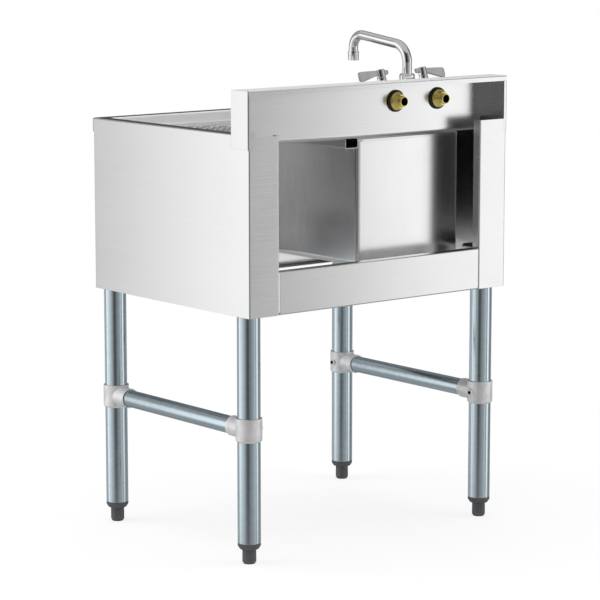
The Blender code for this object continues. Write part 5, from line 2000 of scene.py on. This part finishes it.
@dataclass
class Studio:
    """Camera, floor, lamps and the cards that the metal reflects.

    The cards' tones are stops of degrees round from the camera and strength, and the strip's turn
    is in shares of a turn. Each pair of heights is where a tone comes in and where it is full; the
    pit's are depths, and the floor's are distances from its middle.
    """

    camera_at: tuple = (2.9671, 3.6381, 1.1716)
    yaw: float = 0.6843
    pitch: float = 0.159
    lens: float = 152.3
    air: float = 0.55
    floor_half: float = 12.0
    floor_tone: float = 0.93
    floor_white: float = 0.8
    floor_fade: tuple = (0.5, 1.3)
    wall_radius: float = 3.4
    wall_half: float = 4.0
    wall_hole_share: float = 0.02
    tones: tuple = (
        (-180, 0.42), (-150, 0.30), (-134, 0.72), (-124, 0.37), (-113, 0.60), (-106, 0.33),
        (-100, 0.98), (-96, 1.42), (-88, 1.12), (-76, 0.90), (-68, 0.88), (-60, 0.74),
        (-44, 0.52), (-30, 0.33), (-20, 0.13), (-6, 0.07), (8, 0.21), (44, 0.44), (53, 0.53),
        (60, 0.76), (66, 0.45), (71, 0.15), (75, 0.50), (79, 1.32), (86, 1.32), (92, 0.88),
        (100, 0.46), (109, 0.22), (124, 0.22), (134, 0.51), (148, 0.25), (179.9, 0.42),
    )
    peak: float = 1.5
    contrast_fade: tuple = (0.70, 0.95)
    strip: float = 0.08
    strip_turn: tuple = (0.40, 0.46)
    strip_low: tuple = (0.80, 0.92)
    strip_high: tuple = (1.28, 1.42)
    cap: float = 0.70
    cap_fade: tuple = (1.5, 2.4)
    ceiling: float = 0.52
    ceiling_fade: tuple = (3.6, 3.9)
    pit: float = 0.36
    pit_fade: tuple = (0.45, 1.3)
    aim: tuple = (0, 0, 0.5)
    lamps: tuple = (
        ("key", (2.6, -1.6, 3.0), 3.0, 70), ("fill", (-2.8, 2.6, 2.6), 3.0, 60),
        ("top", (0.0, 0.0, 3.6), 3.5, 60),
    )

    def build(self) -> None:
        """Set the stage."""
        scene = bpy.context.scene
        scene.view_settings.view_transform = "Standard"
        self._camera(scene)
        self._world(scene)
        self._floor()
        self._cards()
        for name, place, size, power in self.lamps:
            self._lamp(name, place, size, power)

    def _camera(self, scene: bpy.types.Scene) -> None:
        """The photograph's view, from behind the right-hand end.

        Args:
            scene: The scene that it is for.
        """
        data = bpy.data.cameras.new("camera")
        data.lens, data.sensor_width = self.lens, 36.0
        camera = bpy.data.objects.new("camera", data)
        camera.location = self.camera_at
        camera.rotation_euler = (math.pi / 2 - self.pitch, 0, math.pi - self.yaw)
        scene.collection.objects.link(camera)
        scene.camera = camera

    def _world(self, scene: bpy.types.Scene) -> None:
        """White where the camera, gloss or glass sees it, and a softer light elsewhere.

        Args:
            scene: The scene that it is for.
        """
        world = bpy.data.worlds.new("studio_air")
        world.use_nodes = True
        scene.world = world
        graph = Graph(world.node_tree)
        strength = self.background_rays(graph) * (1 - self.air) + self.air
        air = graph.node("ShaderNodeBackground", {}, {"Color": (1, 1, 1), "Strength": strength})
        graph.node("ShaderNodeOutputWorld", {}, {"Surface": air})

    @staticmethod
    def background_rays(graph: Graph) -> Value:
        """1 on the rays that show the background: camera, glossy and transmission rays.

        Args:
            graph: The material's nodes.

        Returns:
            The share.
        """
        path = graph.node("ShaderNodeLightPath", {}, {}, output="Is Camera Ray")
        outputs = path.socket.node.outputs
        seen = path + Value(graph, outputs["Is Glossy Ray"])
        return (seen + Value(graph, outputs["Is Transmission Ray"])).between(0.0, 1.0)

    @staticmethod
    def staged(name: str, mesh: bpy.types.Mesh, paint: str) -> tuple:
        """Put a piece of the studio on the stage.

        Args:
            name: Its name.
            mesh: Its mesh.
            paint: Its material's name.

        Returns:
            The object, and the graph of its new material.
        """
        made = bpy.data.objects.new(name, mesh)
        bpy.context.scene.collection.objects.link(made)
        material = bpy.data.materials.new(paint)
        material.use_nodes = True
        mesh.materials.append(material)
        return made, Graph(material.node_tree)

    def _floor(self) -> None:
        """A wide pale floor that gloss looks past, and that turns white away from the sink."""
        half = self.floor_half
        corners = np.array([(-half, -half, 0), (half, -half, 0), (half, half, 0), (-half, half, 0)])
        mesh = Surface().polygon(corners).mesh("floor", 30, up=1)
        floor, graph = self.staged("floor", mesh, "floor_paint")
        floor.visible_glossy = False
        x, y, _ = graph.place().parts()
        far = ((x * x + y * y) ** 0.5).between(*self.floor_fade)
        seen = self.background_rays(graph)
        paint = graph.node(
            "ShaderNodeBsdfPrincipled", {}, {"Base Color": (self.floor_tone,) * 3, "Roughness": 0.9}
        )
        white = graph.node("ShaderNodeEmission", {}, {"Color": (1, 1, 1), "Strength": 1.0})
        share = seen * (far * (1 - self.floor_white) + self.floor_white)
        both = graph.node("ShaderNodeMixShader", {}, {0: share, 1: paint, 2: white})
        graph.node("ShaderNodeOutputMaterial", {}, {"Surface": both})

    def _cards(self) -> None:
        """A round wall of grey cards that only gloss sees, shaded by its direction and height."""
        turn = np.linspace(-math.pi, math.pi, 181)
        rim, high = self.wall_hole_share, self.wall_half
        profile = np.array(((rim, -high), (1.0, -high), (1.0, high), (rim, high)))
        radius = self.wall_radius * profile[:, :1]
        rows = np.stack(np.broadcast_arrays(
            radius * np.cos(turn), radius * np.sin(turn), profile[:, 1:]
        ), -1)
        card, graph = self.staged("cards", Surface().grid(rows).mesh("cards", 60), "card_grey")
        for ray in ("camera", "diffuse", "transmission", "volume_scatter", "shadow"):
            setattr(card, f"visible_{ray}", False)
        light = graph.node(
            "ShaderNodeEmission", {}, {"Color": self._tone(graph), "Strength": self.peak}
        )
        graph.node("ShaderNodeOutputMaterial", {}, {"Surface": light})

    def _tone(self, graph: Graph) -> Colour:
        """The cards' tone.

        The share of a turn from the camera picks a stop. Low down it is plain; above that it has
        more contrast and a dark strip facing away, then its lights are capped, and the ceiling and
        the pit are grey.

        Args:
            graph: The material's nodes.

        Returns:
            The tone, as a share of the peak.
        """
        x, y, z = graph.place().parts()
        angle = graph.node("ShaderNodeMath", {"operation": "ARCTAN2"}, {0: y, 1: x})
        relative = (angle - (math.pi / 2 - self.yaw)) / (2 * math.pi) + 1.5
        share = graph.node("ShaderNodeMath", {"operation": "FRACT"}, {0: relative})
        tone = self.ramp(graph, share, [(d / 360 + 0.5, v / self.peak) for d, v in self.tones])
        tone = tone.mix(tone, z.between(*self.contrast_fade), "OVERLAY")
        strip = abs(share - 0.5).between(*self.strip_turn) * z.between(*self.strip_low)
        tone = tone.mix(self.grey(self.strip), strip * (1 - z.between(*self.strip_high)))
        tone = tone.mix(self.grey(self.cap), z.between(*self.cap_fade), "DARKEN")
        tone = tone.mix(self.grey(self.ceiling), z.between(*self.ceiling_fade))
        return tone.mix(self.grey(self.pit), (-z).between(*self.pit_fade))

    def grey(self, strength: float) -> tuple:
        """A grey of the cards' light at a strength, as a share of its peak."""
        return (strength / self.peak,) * 3

    @staticmethod
    def ramp(graph: Graph, share: Value, stops: list) -> Colour:
        """A grey ramp.

        Args:
            graph: The material's nodes.
            share: Where on the ramp to read.
            stops: Pairs of position and grey.

        Returns:
            The grey as a colour.
        """
        made = graph.node("ShaderNodeValToRGB", {}, {0: share}, kind=Colour)
        elements = made.socket.node.color_ramp.elements
        while len(elements) > 1:
            elements.remove(elements[-1])
        elements[0].position, elements[0].color = stops[0][0], (stops[0][1],) * 3 + (1,)
        for position, value in stops[1:]:
            elements.new(position).color = (value,) * 3 + (1,)
        return made

    def _lamp(self, name: str, place: tuple, size: float, power: float) -> None:
        """A large soft lamp aimed at the sink's middle.

        Args:
            name: Its name.
            place: Where it hangs.
            size: The length of its side.
            power: Its power in watts.
        """
        data = bpy.data.lights.new(name, "AREA")
        data.energy, data.size = power, size
        lamp = bpy.data.objects.new(name, data)
        lamp.location = place
        x, y, z = np.array(self.aim) - np.array(place)
        tilt, spin = math.atan2(math.hypot(x, y), -z), math.atan2(y, x) - math.pi / 2
        lamp.rotation_euler = (tilt, 0, spin)
        lamp.visible_glossy = False
        bpy.context.scene.collection.objects.link(lamp)


def main() -> None:
    """Build every sub-assembly, then the studio."""
    logging.basicConfig(level=logging.INFO, format="%(message)s")
    for assembly in (FoldedTop(), Bowl(), Cabinet(), Stand(), Faucet(), Studio()):
        assembly.build()
        LOG.info("%s: done", type(assembly).__name__)


if __name__ == "__main__":
    main()
